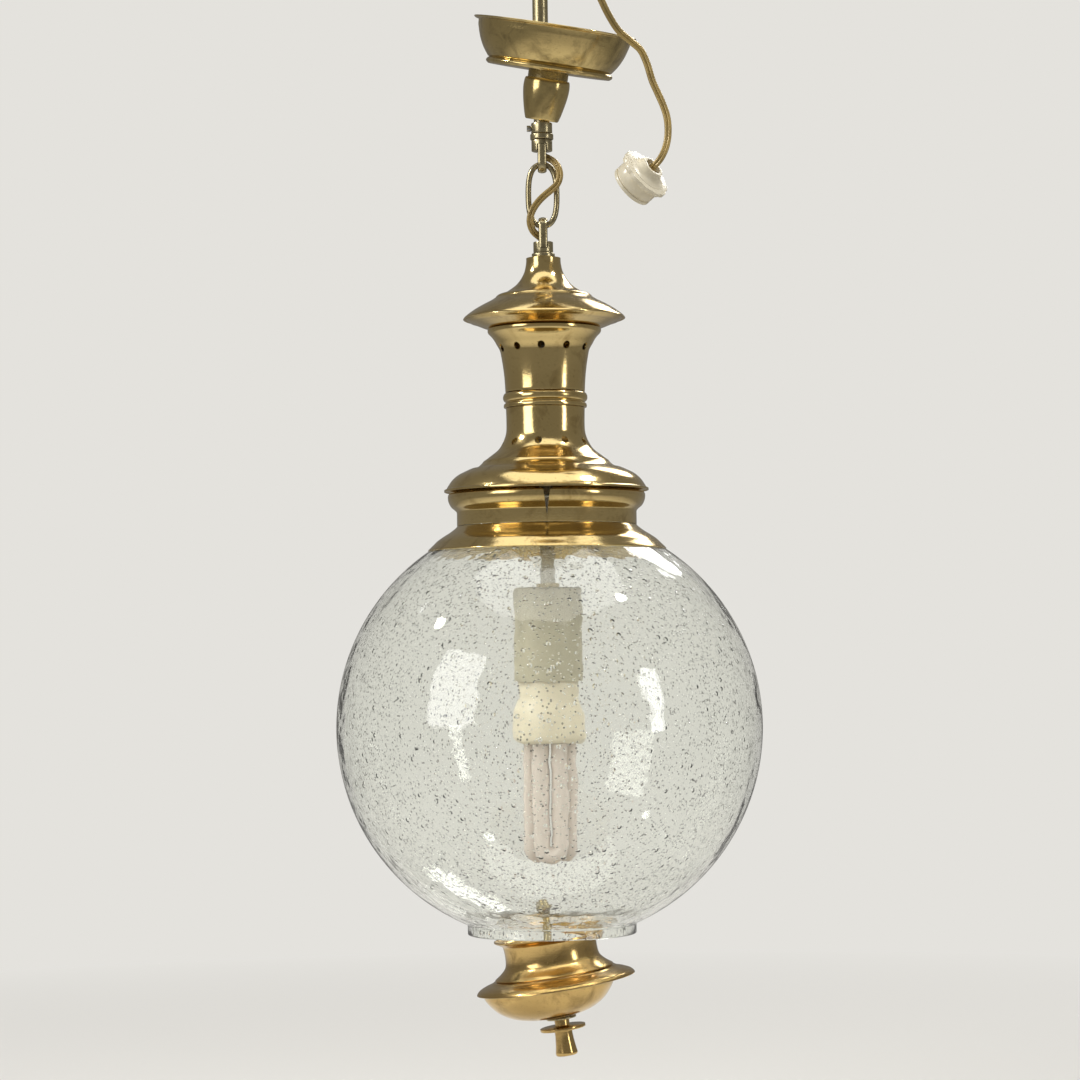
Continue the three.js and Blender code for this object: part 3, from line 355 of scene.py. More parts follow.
def swept(name, path, section, side):
    """Tube along a path with a section of (across, through) points; its first axis starts along side."""
    points = [Vector(p) for p in path]
    side = Vector(side)
    rings, verts, faces = len(points), [], []
    for i, point in enumerate(points):
        forward = (points[min(i + 1, rings - 1)] - points[max(i - 1, 0)]).normalized()
        side = (side - forward * side.dot(forward)).normalized()
        through = forward.cross(side)
        verts += [point + side * a + through * b for a, b in section]
    size = len(section)
    for i in range(rings - 1):
        for j in range(size):
            k = (j + 1) % size
            faces.append((i * size + j, i * size + k, (i + 1) * size + k, (i + 1) * size + j))
    faces += [tuple(range(size))[::-1], tuple(range((rings - 1) * size, rings * size))]
    mesh = bpy.data.meshes.new(name)
    mesh.from_pydata(verts, [], faces)
    piece = bpy.data.objects.new(name, mesh)
    bpy.context.collection.objects.link(piece)
    only(piece)
    bpy.ops.object.mode_set(mode="EDIT")
    bpy.ops.mesh.select_all(action="SELECT")
    bpy.ops.mesh.normals_make_consistent(inside=False)
    bpy.ops.object.mode_set(mode="OBJECT")
    return piece


def dress(piece, node, material, ride=True):
    """Give a finished piece its material, and let it stand for its CAD node on that node's body."""
    piece.data.materials.clear()
    piece.data.materials.append(material)
    if ride:
        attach(piece, BODY_OF[node])
    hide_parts(node)
    return piece


def spun(node, outline, material, edge=EDGE, sides=96, segments=2):
    """A turned piece with rounded edges that stands for its CAD node."""
    piece = soften(turned("smooth_" + node, outline, sides), edge, segments=segments)
    return dress(piece, node, finish(material))


def paint(node, material):
    """New material on a CAD node that stays."""
    for place in frame["nodes"][node].material_slots:
        place.material = material


# ---------------------------------------------------------------- finishes

def add(tree, kind, sockets=None, **settings):
    """Add one shader node: settings are its own options, sockets hold its constants or the outputs to link from."""
    node = tree.nodes.new("ShaderNode" + kind)
    for key, value in settings.items():
        setattr(node, key, value)
    for key, value in (sockets or {}).items():
        if isinstance(value, bpy.types.NodeSocket):
            tree.links.new(value, node.inputs[key])
        else:
            node.inputs[key].default_value = value
    return node


def blank(name):
    """An empty material: its tree and the Object coordinates, which are metres in the lamp's own frame."""
    material = bpy.data.materials.new(name)
    material.use_nodes = True
    material.node_tree.nodes.clear()
    tree = material.node_tree
    return material, tree, add(tree, "TexCoord").outputs["Object"]


def shown(tree, shader):
    add(tree, "OutputMaterial", {"Surface": shader.outputs["BSDF"]})


def ramp(tree, value, low_end, high_end, start=0.0, end=1.0):
    """Stretch a value between two bounds, and clamp it."""
    return add(tree, "MapRange", {"Value": value, "From Min": low_end, "From Max": high_end, "To Min": start,
                                  "To Max": end}).outputs["Result"]


def blended(tree, share, first, second):
    """Mix two colours by a share."""
    return add(tree, "Mix", {0: share, 6: first, 7: second}, data_type="RGBA").outputs[2]


def opaque(shade):
    return (*shade, 1.0)


def darker(shade, share):
    return tuple(part * share for part in shade)


def aged_metal(name, bright, stain, roughness, cloud, stained, rings=0.0):
    """Polished or dull brass gone brown with age. Clouds of tarnish the given size across lie on it, with specks of
    about 1.6 mm and darker pits, and where it was spun on a lathe fine rings run round the lamp's axis."""
    material, tree, place = blank(name)
    clouds = add(tree, "TexNoise", {"Vector": place, "Scale": 1 / cloud, "Detail": 7.0, "Roughness": 0.66,
                                    "Distortion": 0.6}).outputs["Fac"]
    cloud_share = ramp(tree, clouds, 0.62 - 0.22 * stained, 0.74, 0.0, 0.85)
    specks = add(tree, "TexNoise", {"Vector": place, "Scale": 1 / (1.6 * MM), "Detail": 3.0,
                                    "Roughness": 0.7}).outputs["Fac"]
    speck_share = ramp(tree, specks, 0.60, 0.72, 0.0, 0.55)
    share = add(tree, "Math", {0: cloud_share, 1: speck_share}, operation="MAXIMUM").outputs[0]
    shade = blended(tree, share, opaque(bright), opaque(stain))
    rough = ramp(tree, share, 0.0, 1.0, roughness, min(roughness + 0.22, 0.9))
    height = add(tree, "Math", {0: specks, 1: clouds}, operation="ADD").outputs[0]
    if rings:
        flat = add(tree, "VectorMath", {0: place, 1: (1, 1, 0)}, operation="MULTIPLY").outputs["Vector"]
        across = add(tree, "VectorMath", {0: flat}, operation="LENGTH").outputs["Value"]
        upward = add(tree, "SeparateXYZ", {0: place}).outputs["Z"]
        lathe = add(tree, "CombineXYZ", {"X": across, "Z": upward}).outputs["Vector"]
        lines = add(tree, "TexNoise", {"Vector": lathe, "Scale": 1 / (1.1 * MM), "Detail": 2.0,
                                       "Roughness": 0.6}).outputs["Fac"]
        ringed = add(tree, "Math", {0: lines, 1: rings}, operation="MULTIPLY").outputs[0]
        height = add(tree, "Math", {0: height, 1: ringed}, operation="ADD").outputs[0]
    bump = add(tree, "Bump", {"Height": height, "Strength": 0.10, "Distance": 0.4 * MM}).outputs["Normal"]
    shown(tree, add(tree, "BsdfPrincipled", {"Base Color": shade, "Metallic": 1.0, "Roughness": rough,
                                             "Normal": bump}))
    return material


def plain_plastic(name, shade, roughness, grime):
    """Moulded plastic or coated glass: even colour, a soft gloss, and faint grime in clouds of 12 mm."""
    material, tree, place = blank(name)
    clouds = add(tree, "TexNoise", {"Vector": place, "Scale": 1 / (12 * MM), "Detail": 5.0}).outputs["Fac"]
    share = ramp(tree, clouds, 0.5, 0.75, 0.0, grime)
    tint = blended(tree, share, opaque(shade), opaque(darker(shade, 0.45)))
    shown(tree, add(tree, "BsdfPrincipled", {"Base Color": tint, "Roughness": roughness}))
    return material


def seeded_glass(name, shade):
    """Hand-blown seeded soda-lime glass: clear, with many seeds (air bubbles) of about 1 mm that catch the light,
    a few larger ones, and a slow wave in its thickness. Lamps' light passes it, so what it holds stays lit."""
    material, tree, place = blank(name)
    fine = add(tree, "TexVoronoi", {"Vector": place, "Scale": 1 / (3.0 * MM), "Randomness": 1.0})
    coarse = add(tree, "TexVoronoi", {"Vector": place, "Scale": 1 / (11 * MM), "Randomness": 1.0})
    fine_seed = ramp(tree, fine.outputs["Distance"], 0.10, 0.21, 0.75, 0.0)
    coarse_seed = ramp(tree, coarse.outputs["Distance"], 0.07, 0.15, 1.0, 0.0)
    seeds = add(tree, "Math", {0: fine_seed, 1: coarse_seed}, operation="MAXIMUM").outputs[0]
    wave = add(tree, "TexNoise", {"Vector": place, "Scale": 1 / (30 * MM), "Detail": 2.0}).outputs["Fac"]
    height = add(tree, "Math", {0: seeds, 1: 0.8, 2: wave}, operation="MULTIPLY_ADD").outputs[0]
    bump = add(tree, "Bump", {"Height": height, "Strength": 0.85, "Distance": 0.8 * MM}).outputs["Normal"]
    shadow = add(tree, "LightPath").outputs["Is Shadow Ray"]
    alpha = ramp(tree, shadow, 0.0, 1.0, 1.0, 0.22)
    shown(tree, add(tree, "BsdfPrincipled", {"Base Color": opaque(shade), "Roughness": 0.02, "IOR": 1.5,
                                             "Transmission Weight": 1.0, "Alpha": alpha, "Normal": bump}))
    return material


def sheathed_flex(name, shade):
    """Twin flex in clear gold PVC over tinned copper strands: warm and half clear under a smooth glossy skin, a
    little paler and darker by turns of 14 mm where the strands lie nearer the skin."""
    material, tree, place = blank(name)
    strands = add(tree, "TexNoise", {"Vector": place, "Scale": 1 / (14 * MM), "Detail": 1.0}).outputs["Fac"]
    share = ramp(tree, strands, 0.35, 0.65)
    tint = blended(tree, share, opaque(darker(shade, 0.8)), opaque(darker(shade, 1.25)))
    shown(tree, add(tree, "BsdfPrincipled", {"Base Color": tint, "Roughness": 0.36, "Metallic": 0.25,
                                             "Coat Weight": 0.3, "Coat Roughness": 0.25}))
    return material


def make_finishes():
    """All finishes, by their own names, from the sidebar's colours."""
    hue = {key: tuple(getattr(sizes(LampColours), key)) for key in LampColours.__annotations__}
    return {
        # Spun sheet brass, once polished and lacquered: mirror-like gold with brown stains and lathe rings
        "spun_brass": aged_metal("Aged polished brass, spun", hue["brass"], hue["brass_stain"], 0.13, 26 * MM, 0.4,
                                 0.5),
        # Canopy brass under lost lacquer: greyer, duller, heavily stained
        "canopy_brass": aged_metal("Tarnished brass, spun", hue["bronze"], hue["bronze_stain"], 0.16, 20 * MM, 0.6,
                                   0.4),
        # Bottom closure: warmer brass that was handled and wiped
        "warm_brass": aged_metal("Handled brass, spun and turned", hue["warm"], hue["warm_stain"], 0.16, 24 * MM, 0.45,
                                 0.5),
        # Cast and drawn brass wire, never lacquered: dull, brown-grey
        "wire_brass": aged_metal("Dull brass, drawn and turned", hue["wire"], hue["wire_stain"], 0.26, 9 * MM, 0.5),
        # Zinc plate gone dull: grey, soft gleam, a little grime
        "steel": aged_metal("Zinc-plated steel", linear("#A9A8A2"), linear("#5C574E"), 0.35, 12 * MM, 0.3),
        # Nickel plate on brass: warm grey, smoother than the zinc
        "nickel": aged_metal("Nickel plate", linear("#B9B4A6"), linear("#77705F"), 0.25, 12 * MM, 0.2),
        # Old blown glass: almost no tint, bright edges, dark and light seeds
        "seeded_glass": seeded_glass("Seeded soda-lime glass, blown", hue["glass"]),
        # Half clear gold sheath: the copper under it gives a soft metal gleam
        "flex": sheathed_flex("Gold PVC twin flex", hue["flex"]),
        # Glossy moulded urea plastic, off-white
        "cream_plastic": plain_plastic("Urea plastic, moulded", hue["plastic"], 0.28, 0.10),
        # Pressed card or aged polypropylene sleeve, matt
        "sleeve": plain_plastic("Aged polypropylene sleeve", hue["sleeve"], 0.45, 0.25),
        # Glazed white porcelain
        "porcelain": plain_plastic("Glazed porcelain", linear("#E9E4DA"), 0.15, 0.05),
        # Glass tube coated inside with phosphor powder: even, warm white, glossy outside
        "phosphor_tube": plain_plastic("Phosphor-coated glass tube", hue["tube"], 0.12, 0.08),
    }


FINISHES = {}


def finish(name):
    if not FINISHES:
        FINISHES.update(make_finishes())
    return FINISHES[name]


# ---------------------------------------------------------------- flexes and plug

# Route of the free flex from the top ferrule into its plug, in millimetres
FREE_ROUTE = (
    (0, 0, -12.5), (0, 0, -10.9), (0.9, -0.3, -8.2), (3.2, -0.9, -5.4), (7.5, -4, -2), (11.5, -11, 2.5),
    (14.5, -20, 6.5), (17.5, -30, 8.2), (20.8, -41.5, 7), (24, -51.5, 2.6), (27, -58.5, -6.5),
    (29.93, -62, -19), (33.92, -63.2, -33), (37.9, -63.4, -45.5), (42.1, -63.2, -55.6), (47.4, -62.6, -66.7),
    (53.9, -61.6, -76.9), (62, -60.6, -84.1), (69, -60.3, -90.6), (73.2, -60.5, -100), (76.5, -61, -111.6),
    (80.2, -61.5, -120.5), (83.8, -62, -129.2), (86.2, -62.5, -137.2), (87, -63, -145.2),
    (86.4, -64, -153.5), (84.4, -65.3, -161), (80.9, -65.8, -167.6), (76.6, -63.5, -172),
    (73.9, -61.5, -174.2), (71.45, -59.67, -176.15),
)
# Route of the flex that winds through the link, from ferrule to ferrule, in millimetres
LINK_ROUTE = (
    (0, 0, -150.1), (0, 0, -151.4), (1.3, -0.4, -153.2), (4.4, -1.4, -154.9), (8.3, -3, -157.6),
    (11.4, -4.4, -162.4), (12.3, -4.9, -168.4), (10.4, -4.9, -174), (6.2, -4.4, -178), (1.8, -4.1, -181.5),
    (-2.5, -4.1, -185.6), (-6.2, -4.4, -190.6), (-8.6, -4.7, -196), (-9, -4.3, -201.5), (-7.2, -2.8, -206.6),
    (-4, -1.2, -209.8), (-1.3, -0.4, -211.8), (0, 0, -213.2), (0, 0, -214.2),
)
LINK_MIDDLE = (-0.35, -4.05, -183.5)
ROUTE_STEPS = 6
# Start of the flat side of the free flex, which turns its two cores to the front further down
FLAT_SIDE = (0.31, 0.95, 0)
PLUG_AXIS = Vector((0.676, -0.5, 0.548)).normalized()
PLUG_CENTRE = Vector((71.9, -60, -175.8)) * MM


def twin_section(width, thickness, steps=12):
    """Two round cores side by side, with the groove between them."""
    core = thickness / 2
    offset = width / 2 - core
    waist = math.acos(-offset / core)
    right = [(offset + core * math.cos(a), core * math.sin(a))
             for a in (waist * (2 * i / steps - 1) for i in range(steps + 1))]
    return right[1:] + [(-x, -y) for x, y in right[1:]]


def in_metres(route):
    return [tuple(v * MM for v in point) for point in route]


class LAMP_OT_flexes(bpy.types.Operator):
    """Free flex with its ceiling plug's end, and the flex that winds through the link"""
    bl_idname = "lamp.flexes"
    bl_label = "Flexes"

    def execute(self, context):
        s = sizes(FlexSizes)
        section = twin_section(s.width, s.thickness)
        path = flowing(in_metres(FREE_ROUTE), ROUTE_STEPS)
        free = dress(smooth(swept("twin_flex_free", path, section, FLAT_SIDE)), "free_flex", finish("flex"))

        middle = min(range(len(LINK_ROUTE)), key=lambda i: math.dist(LINK_ROUTE[i], LINK_MIDDLE))
        whole = flowing(in_metres(LINK_ROUTE), ROUTE_STEPS)
        turn = ROUTE_STEPS * middle
        upper = smooth(swept("twin_flex_link_upper", whole[:turn + 1], section, (1, 0, 0)))
        lower = smooth(swept("twin_flex_link_lower", whole[turn:], section, (1, 0, 0)))
        for piece, first, second, start, end in (
                (upper, "stem", "chain_link", whole[0], whole[turn]),
                (lower, "chain_link", "lantern", whole[turn], whole[-1])):
            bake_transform(dress(piece, "link_flex", finish("flex"), ride=False))
        for node in ("stem_flex", "lantern_flex"):
            paint(node, finish("flex"))
        return {"FINISHED"}


def at_plug(piece):
    """Turn a piece made about Z to the plug's own axis."""
    turn = Vector((0, 0, 1)).rotation_difference(PLUG_AXIS).to_matrix().to_4x4()
    piece.matrix_world = Matrix.Translation(PLUG_CENTRE) @ turn
    return settle(piece)


class LAMP_OT_plug(bpy.types.Operator):
    """Ceiling plug: scalloped cap with its cord boss, body with a groove, and two contact studs"""
    bl_idname = "lamp.plug"
    bl_label = "Ceiling plug"

    def execute(self, context):
        s = sizes(FlexSizes)
        thick, dip, mouth = 3.2 * MM, 0.9 * MM, 6 * MM
        deselect()
        bpy.ops.mesh.primitive_cylinder_add(vertices=16 * s.scallops, radius=s.plug_flange, depth=thick,
                                            location=(0, 0, -thick / 2))
        cap = bpy.context.active_object
        cap.name = cap.data.name = "smooth_plug_cap"
        settle(cap)
        for vertex in cap.data.vertices:
            around = math.atan2(vertex.co.y, vertex.co.x)
            share = (s.plug_flange - dip * (1 - abs(math.sin(around * s.scallops / 2)))) / s.plug_flange
            vertex.co.x *= share
            vertex.co.y *= share
        boss = turned("plug_boss", on_axis([(14.5 * MM, -thick / 2), (14.5 * MM, 0.3 * MM),
                                            *flowing([(13.6 * MM, 0.5 * MM), (11.2 * MM, 1.9 * MM),
                                                      (9.4 * MM, 4.3 * MM), (8.2 * MM, 7 * MM)])]))
        modify(cap, "BOOLEAN", operation="UNION", solver="EXACT", object=boss)
        only(boss)
        bpy.ops.object.delete()
        cut(cap, [cutter("cylinder", vertices=48, radius=mouth, depth=10 * MM, location=(0, 0, 4 * MM))])
        dress(at_plug(soften(cap, 0.4 * MM)), "plug_cap", finish("cream_plastic"))

        foot, radius, groove, groove_foot, groove_top = -15.5 * MM, 16 * MM, 15.1 * MM, 2.4 * MM, 3.8 * MM
        body = turned("smooth_plug_body", on_axis([
            (radius, -3.5 * MM), (radius, foot + groove_top), (groove, foot + groove_top),
            (groove, foot + groove_foot), (radius, foot + groove_foot), (radius, foot)]))
        dress(at_plug(soften(body, 0.3 * MM)), "plug_body", finish("cream_plastic"))
        for name, side in (("plug_pin_1", -1), ("plug_pin_2", 1)):
            pin = turned("smooth_" + name, on_axis([(2 * MM, foot - PLAY), (2 * MM, foot - 1.5 * MM),
                                                    (1.5 * MM, foot - 1.9 * MM)]), 32)
            pin.data.transform(Matrix.Translation((side * 8 * MM, 0, 0)))
            dress(at_plug(soften(pin, 0.15 * MM)), name, finish("nickel"))
        return {"FINISHED"}


# ---------------------------------------------------------------- stem, link and canopy

def arch(name, width, thickness, leg_end, bend_centre, radius, sides=20, steps=20):
    """Bend a round or flat wire into a U in the YZ plane: its section is drawn up one leg, spun round the bend and
    drawn back to the level of the leg's end."""
    deselect()
    bpy.ops.mesh.primitive_circle_add(vertices=sides, radius=0.5, fill_type="NGON", location=(0, -radius, leg_end))
    piece = bpy.context.active_object
    piece.name = piece.data.name = name
    piece.scale = (width, thickness, 1)
    settle(piece)
    bpy.ops.object.mode_set(mode="EDIT")
    bpy.ops.mesh.select_all(action="SELECT")
    leg = bend_centre - leg_end
    bpy.ops.mesh.extrude_region_move(TRANSFORM_OT_translate={"value": (0, 0, leg)})
    bpy.ops.mesh.spin(steps=steps, angle=math.copysign(math.pi, leg), center=(0, 0, bend_centre), axis=(1, 0, 0))
    bpy.ops.mesh.extrude_region_move(TRANSFORM_OT_translate={"value": (0, 0, -leg)})
    bpy.ops.mesh.select_all(action="SELECT")
    bpy.ops.mesh.remove_doubles(threshold=WELD)
    bpy.ops.mesh.normals_make_consistent(inside=False)
    return settle(piece)


def hanging_eye(node, legs_up):
    """Flat-wire eye with its two legs, where the CAD eye lies."""
    s = sizes(StemSizes)
    side = 1 if legs_up else -1
    leg_end = high(node) if legs_up else low(node)
    crown = low(node) if legs_up else high(node)
    bend_centre = crown + side * (s.eye_radius + s.eye_thickness)
    piece = arch("smooth_" + node, s.eye_width, s.eye_thickness, leg_end, bend_centre,
                 s.eye_radius + s.eye_thickness / 2)
    return dress(smooth(piece), node, finish("wire_brass"))


def ferrule(node, bore, opens_up):
    """Turned ferrule: cord hole in its face, bore for the tube, and two slots for the eye's legs."""
    radius, side = high(node, 0), 1 if opens_up else -1
    face, far = (high(node), low(node)) if opens_up else (low(node), high(node))
    step, hole, deep = face - side * 5 * MM, 3.4 * MM, 6.6 * MM
    piece = turned("smooth_" + node, [(hole, face), (radius, face), (radius, far), (bore, far), (bore, step),
                                      (hole, step), (hole, face)], 64)
    slots = [cutter("cube", size=1, location=(0, end * (radius + 2.9 * MM) / 2 + end * MM, face - side * 1.4 * MM),
                    scale=(7 * MM, radius - 1.9 * MM, deep)) for end in (-1, 1)]
    cut(soften(piece, 0.45 * MM), slots)
    return dress(smooth(piece), node, finish("wire_brass"))


class LAMP_OT_stem(bpy.types.Operator):
    """Stem with its eyes, ferrules, lock rings, stop collar and set screw"""
    bl_idname = "lamp.stem"
    bl_label = "Stem and fittings"

    def execute(self, context):
        s = sizes(StemSizes)
        hanging_eye("top_eye", False)
        hanging_eye("stem_eye", True)
        hanging_eye("lamp_eye", False)
        ferrule("top_ferrule", s.stem_radius + PLAY, True)
        ferrule("stem_ferrule", s.stem_radius + PLAY, False)
        ferrule("lamp_ferrule", TUBE_BORE, True)
        for node, bore in (("top_lock_ring", s.stem_radius + PLAY), ("stem_lock_ring", s.stem_radius + PLAY),
                           ("lamp_lock_ring", TUBE_BORE)):
            spun(node, tube(bore, high(node, 0), low(node), high(node)), "wire_brass", 0.6 * MM, 64, 3)
        stem = turned("smooth_stem_tube", tube(s.stem_radius - MM, s.stem_radius, low("stem_tube"),
                                               high("stem_tube")), 64)
        dress(smooth(stem), "stem_tube", finish("wire_brass"))

        middle = (low("stop_collar") + high("stop_collar")) / 2
        collar = turned("smooth_stop_collar", tube(s.stem_radius + PLAY, high("stop_collar", 0),
                                                   low("stop_collar"), high("stop_collar")), 64)
        cut(soften(collar, 0.5 * MM), [cutter("cylinder", vertices=32, radius=1.7 * MM, depth=8 * MM,
                                              location=(-8 * MM, 0, middle), rotation=(0, math.pi / 2, 0))])
        dress(smooth(collar), "stop_collar", finish("wire_brass"))
        shank, head, under_head, end = 1.4 * MM, 2.2 * MM, 7.8 * MM, 10.6 * MM
        screw = turned("smooth_set_screw", on_axis([(shank, 5.8 * MM), (shank, under_head), (head, under_head),
                                                    (head, end)]), 40)
        cut(soften(screw, 0.2 * MM), [cutter("cube", size=1, location=(0, 0, end),
                                             scale=(6 * MM, 0.7 * MM, 1.6 * MM))])
        screw.matrix_world = Matrix.Translation((0, 0, middle)) @ Matrix.Rotation(-math.pi / 2, 4, "Y")
        dress(settle(screw), "set_screw", finish("steel"))
        return {"FINISHED"}


class LAMP_OT_link(bpy.types.Operator):
    """Oval chain link: a wire circle drawn out to an oval and given its thickness"""
    bl_idname = "lamp.link"
    bl_label = "Chain link"

    def execute(self, context):
        s = sizes(StemSizes)
        deselect()
        bpy.ops.curve.primitive_bezier_circle_add(radius=1, location=(0, 0, 0))
        wire = bpy.context.active_object
        bpy.ops.object.mode_set(mode="EDIT")
        bpy.ops.curve.select_all(action="SELECT")
        bpy.ops.transform.resize(value=(s.link_half_width, s.link_half_height, 1))
        bpy.ops.object.mode_set(mode="OBJECT")
        wire.data.resolution_u = 24
        wire.data.bevel_depth = s.link_wire
        wire.data.bevel_resolution = 6
        wire.rotation_euler = (math.pi / 2, 0, 0)
        wire.location = (0, 0, (low("chain_link") + high("chain_link")) / 2)
        bpy.ops.object.convert(target="MESH")
        link = bpy.context.active_object
        link.name = link.data.name = "smooth_chain_link"
        settle(link)
        dress(smooth(link), "chain_link", finish("wire_brass"))
        return {"FINISHED"}


class LAMP_OT_canopy(bpy.types.Operator):
    """Canopy: cup and dish with its bead, bush and ring nut, all on one axis that leans on the stem"""
    bl_idname = "lamp.canopy"
    bl_label = "Canopy"

    def execute(self, context):
        s = sizes(CanopySizes)
        wall = SHEET
        slope = math.hypot(math.tan(s.lean) / math.cos(s.nod), math.tan(s.nod))
        seat = high("stop_collar") + high("stop_collar", 0) * slope + s.set_back * math.tan(s.nod) + PLAY
        reach = sizes(StemSizes).stem_radius * math.hypot(1, slope) + PLAY
        behind = s.set_back / math.cos(s.nod)
        forward = math.tan(s.nod) / math.cos(s.lean) * s.bush_top - behind
        bore = math.hypot(math.tan(s.lean) * s.bush_top, forward) + reach
        hole = bore + 1.5 * MM

        def put(piece, node, name):
            return dress(leaned(piece, (0, s.set_back, seat), s.lean, s.nod), node, finish(name))

        cup = turned("smooth_canopy_cup", sheet([
            (hole + wall, s.cup_height),
            *flowing([(15.55 * MM, s.cup_height), (16.1 * MM, 27.9 * MM), (s.cup_radius, 25.2 * MM),
                      (s.cup_radius, 22 * MM), (15.9 * MM, 17.5 * MM), (14.9 * MM, 12 * MM), (13.4 * MM, 5.5 * MM),
                      (12 * MM, 0.8 * MM)]),
            (11.3 * MM, 0), (behind + reach + PLAY, 0)], wall))
        put(soften(cup, 0.3 * MM), "canopy_cup", "canopy_brass")

        dish = turned("smooth_canopy_dish", sheet([
            *flowing([(s.dish_radius, s.dish_lip), (s.dish_radius - 1.3 * MM, s.dish_lip - 1.1 * MM),
                      (s.dish_body, s.dish_lip - 1.7 * MM)]),
            *flowing([(s.dish_body - 0.3 * MM, 60.5 * MM), (51.9 * MM, 52.4 * MM), (48.6 * MM, 45.5 * MM),
                      (44.4 * MM, 39.6 * MM)]),
            (43.3 * MM, 39.2 * MM),
            *flowing([(44.3 * MM, 38.6 * MM), (45.3 * MM, 37.2 * MM), (45.1 * MM, 35.9 * MM),
                      (43.6 * MM, s.dish_base)]),
            (hole, s.dish_base)], wall))
        put(soften(dish, 0.3 * MM), "canopy_dish", "canopy_brass")

        rim, bush_foot, flange_top, outer = hole + 0.2 * MM, 24.6 * MM, 25.8 * MM, bore + 1.2 * MM
        bush = turned("smooth_canopy_bush", [
            (bore, bush_foot), (rim, bush_foot), (rim, flange_top), (outer, flange_top),
            (outer, s.bush_top), (bore, s.bush_top), (bore, bush_foot)], 64)
        put(soften(bush, 0.2 * MM), "canopy_bush", "wire_brass")
        floor = s.dish_base + wall + PLAY
        nut = turned("smooth_canopy_ring_nut", tube(hole, hole + 4.8 * MM, floor, floor + 2.4 * MM), 64)
        put(soften(nut, 0.4 * MM), "canopy_ring_nut", "wire_brass")
        return {"FINISHED"}


# ---------------------------------------------------------------- lantern top

def vents(count_round, first, radius, wall, height):
    """Round cutters for the vent holes, evenly spaced from a place in degrees round from the front."""
    tools = []
    for i in range(count_round):
        around = math.radians(first) + 2 * math.pi * i / count_round - math.pi / 2
        tools.append(cutter("cylinder", name=f"vent_{i}", vertices=28, radius=radius, depth=wall,
                            location=(wall * math.cos(around), wall * math.sin(around), height),
                            rotation=(math.pi / 2, 0, around + math.pi / 2)))
    return tools


def vented(piece, node, tools):
    """Round a chimney's edges, cut its vent holes and break their edges too."""
    cut(soften(piece), tools)
    modify(piece, "BEVEL", width=VENT_EDGE, segments=1, limit_method="ANGLE", angle_limit=math.radians(70))
    return dress(smooth(piece), node, finish("spun_brass"))


class LAMP_OT_hood(bpy.types.Operator):
    """Hood with its bead and brim, and the soffit that closes it from below"""
    bl_idname = "lamp.hood"
    bl_label = "Hood"

    def execute(self, context):
        s = sizes(LanternSizes)
        top, brim = high("hood"), low("hood") + 0.6 * MM
        drop, radius = top - brim, s.hood_radius
        neck = shaped([(0, .212), (.10, .216), (.26, .247), (.42, .325), (.53, .43), (.585, .505)], top, drop, radius)
        bead = shaped([(.592, .540), (.606, .568), (.630, .590), (.652, .598)], top, drop, radius)
        step = shaped([(.662, .614), (.685, .640), (.710, .672)], top, drop, radius)
        bell = shaped([(.722, .690), (.78, .775), (.85, .865), (.92, .940), (.97, .985), (1, 1)], top, drop, radius)
        spun("hood", sheet([(TUBE_BORE, top), *neck, *bead, *step, *bell], s.wall), "spun_brass")
        drop, edge = brim - low("hood_soffit"), radius - 2.1 * MM
        spun("hood_soffit", sheet([
            *shaped([(0, 1), (.15, .978), (.30, .95)], brim, drop, edge),
            *shaped([(.40, .905), (.60, .845), (.80, .785)], brim, drop, edge),
            *shaped([(.88, .740), (1, .70)], brim, drop, edge), (33 * MM, brim - drop)], s.wall),
             "spun_brass")
        for node in ("hood_nut", "bridge_nut", "holder_nut", "bridge", "centre_tube"):
            paint(node, finish({"bridge": "steel", "centre_tube": "nickel"}.get(node, "wire_brass")))
        return {"FINISHED"}


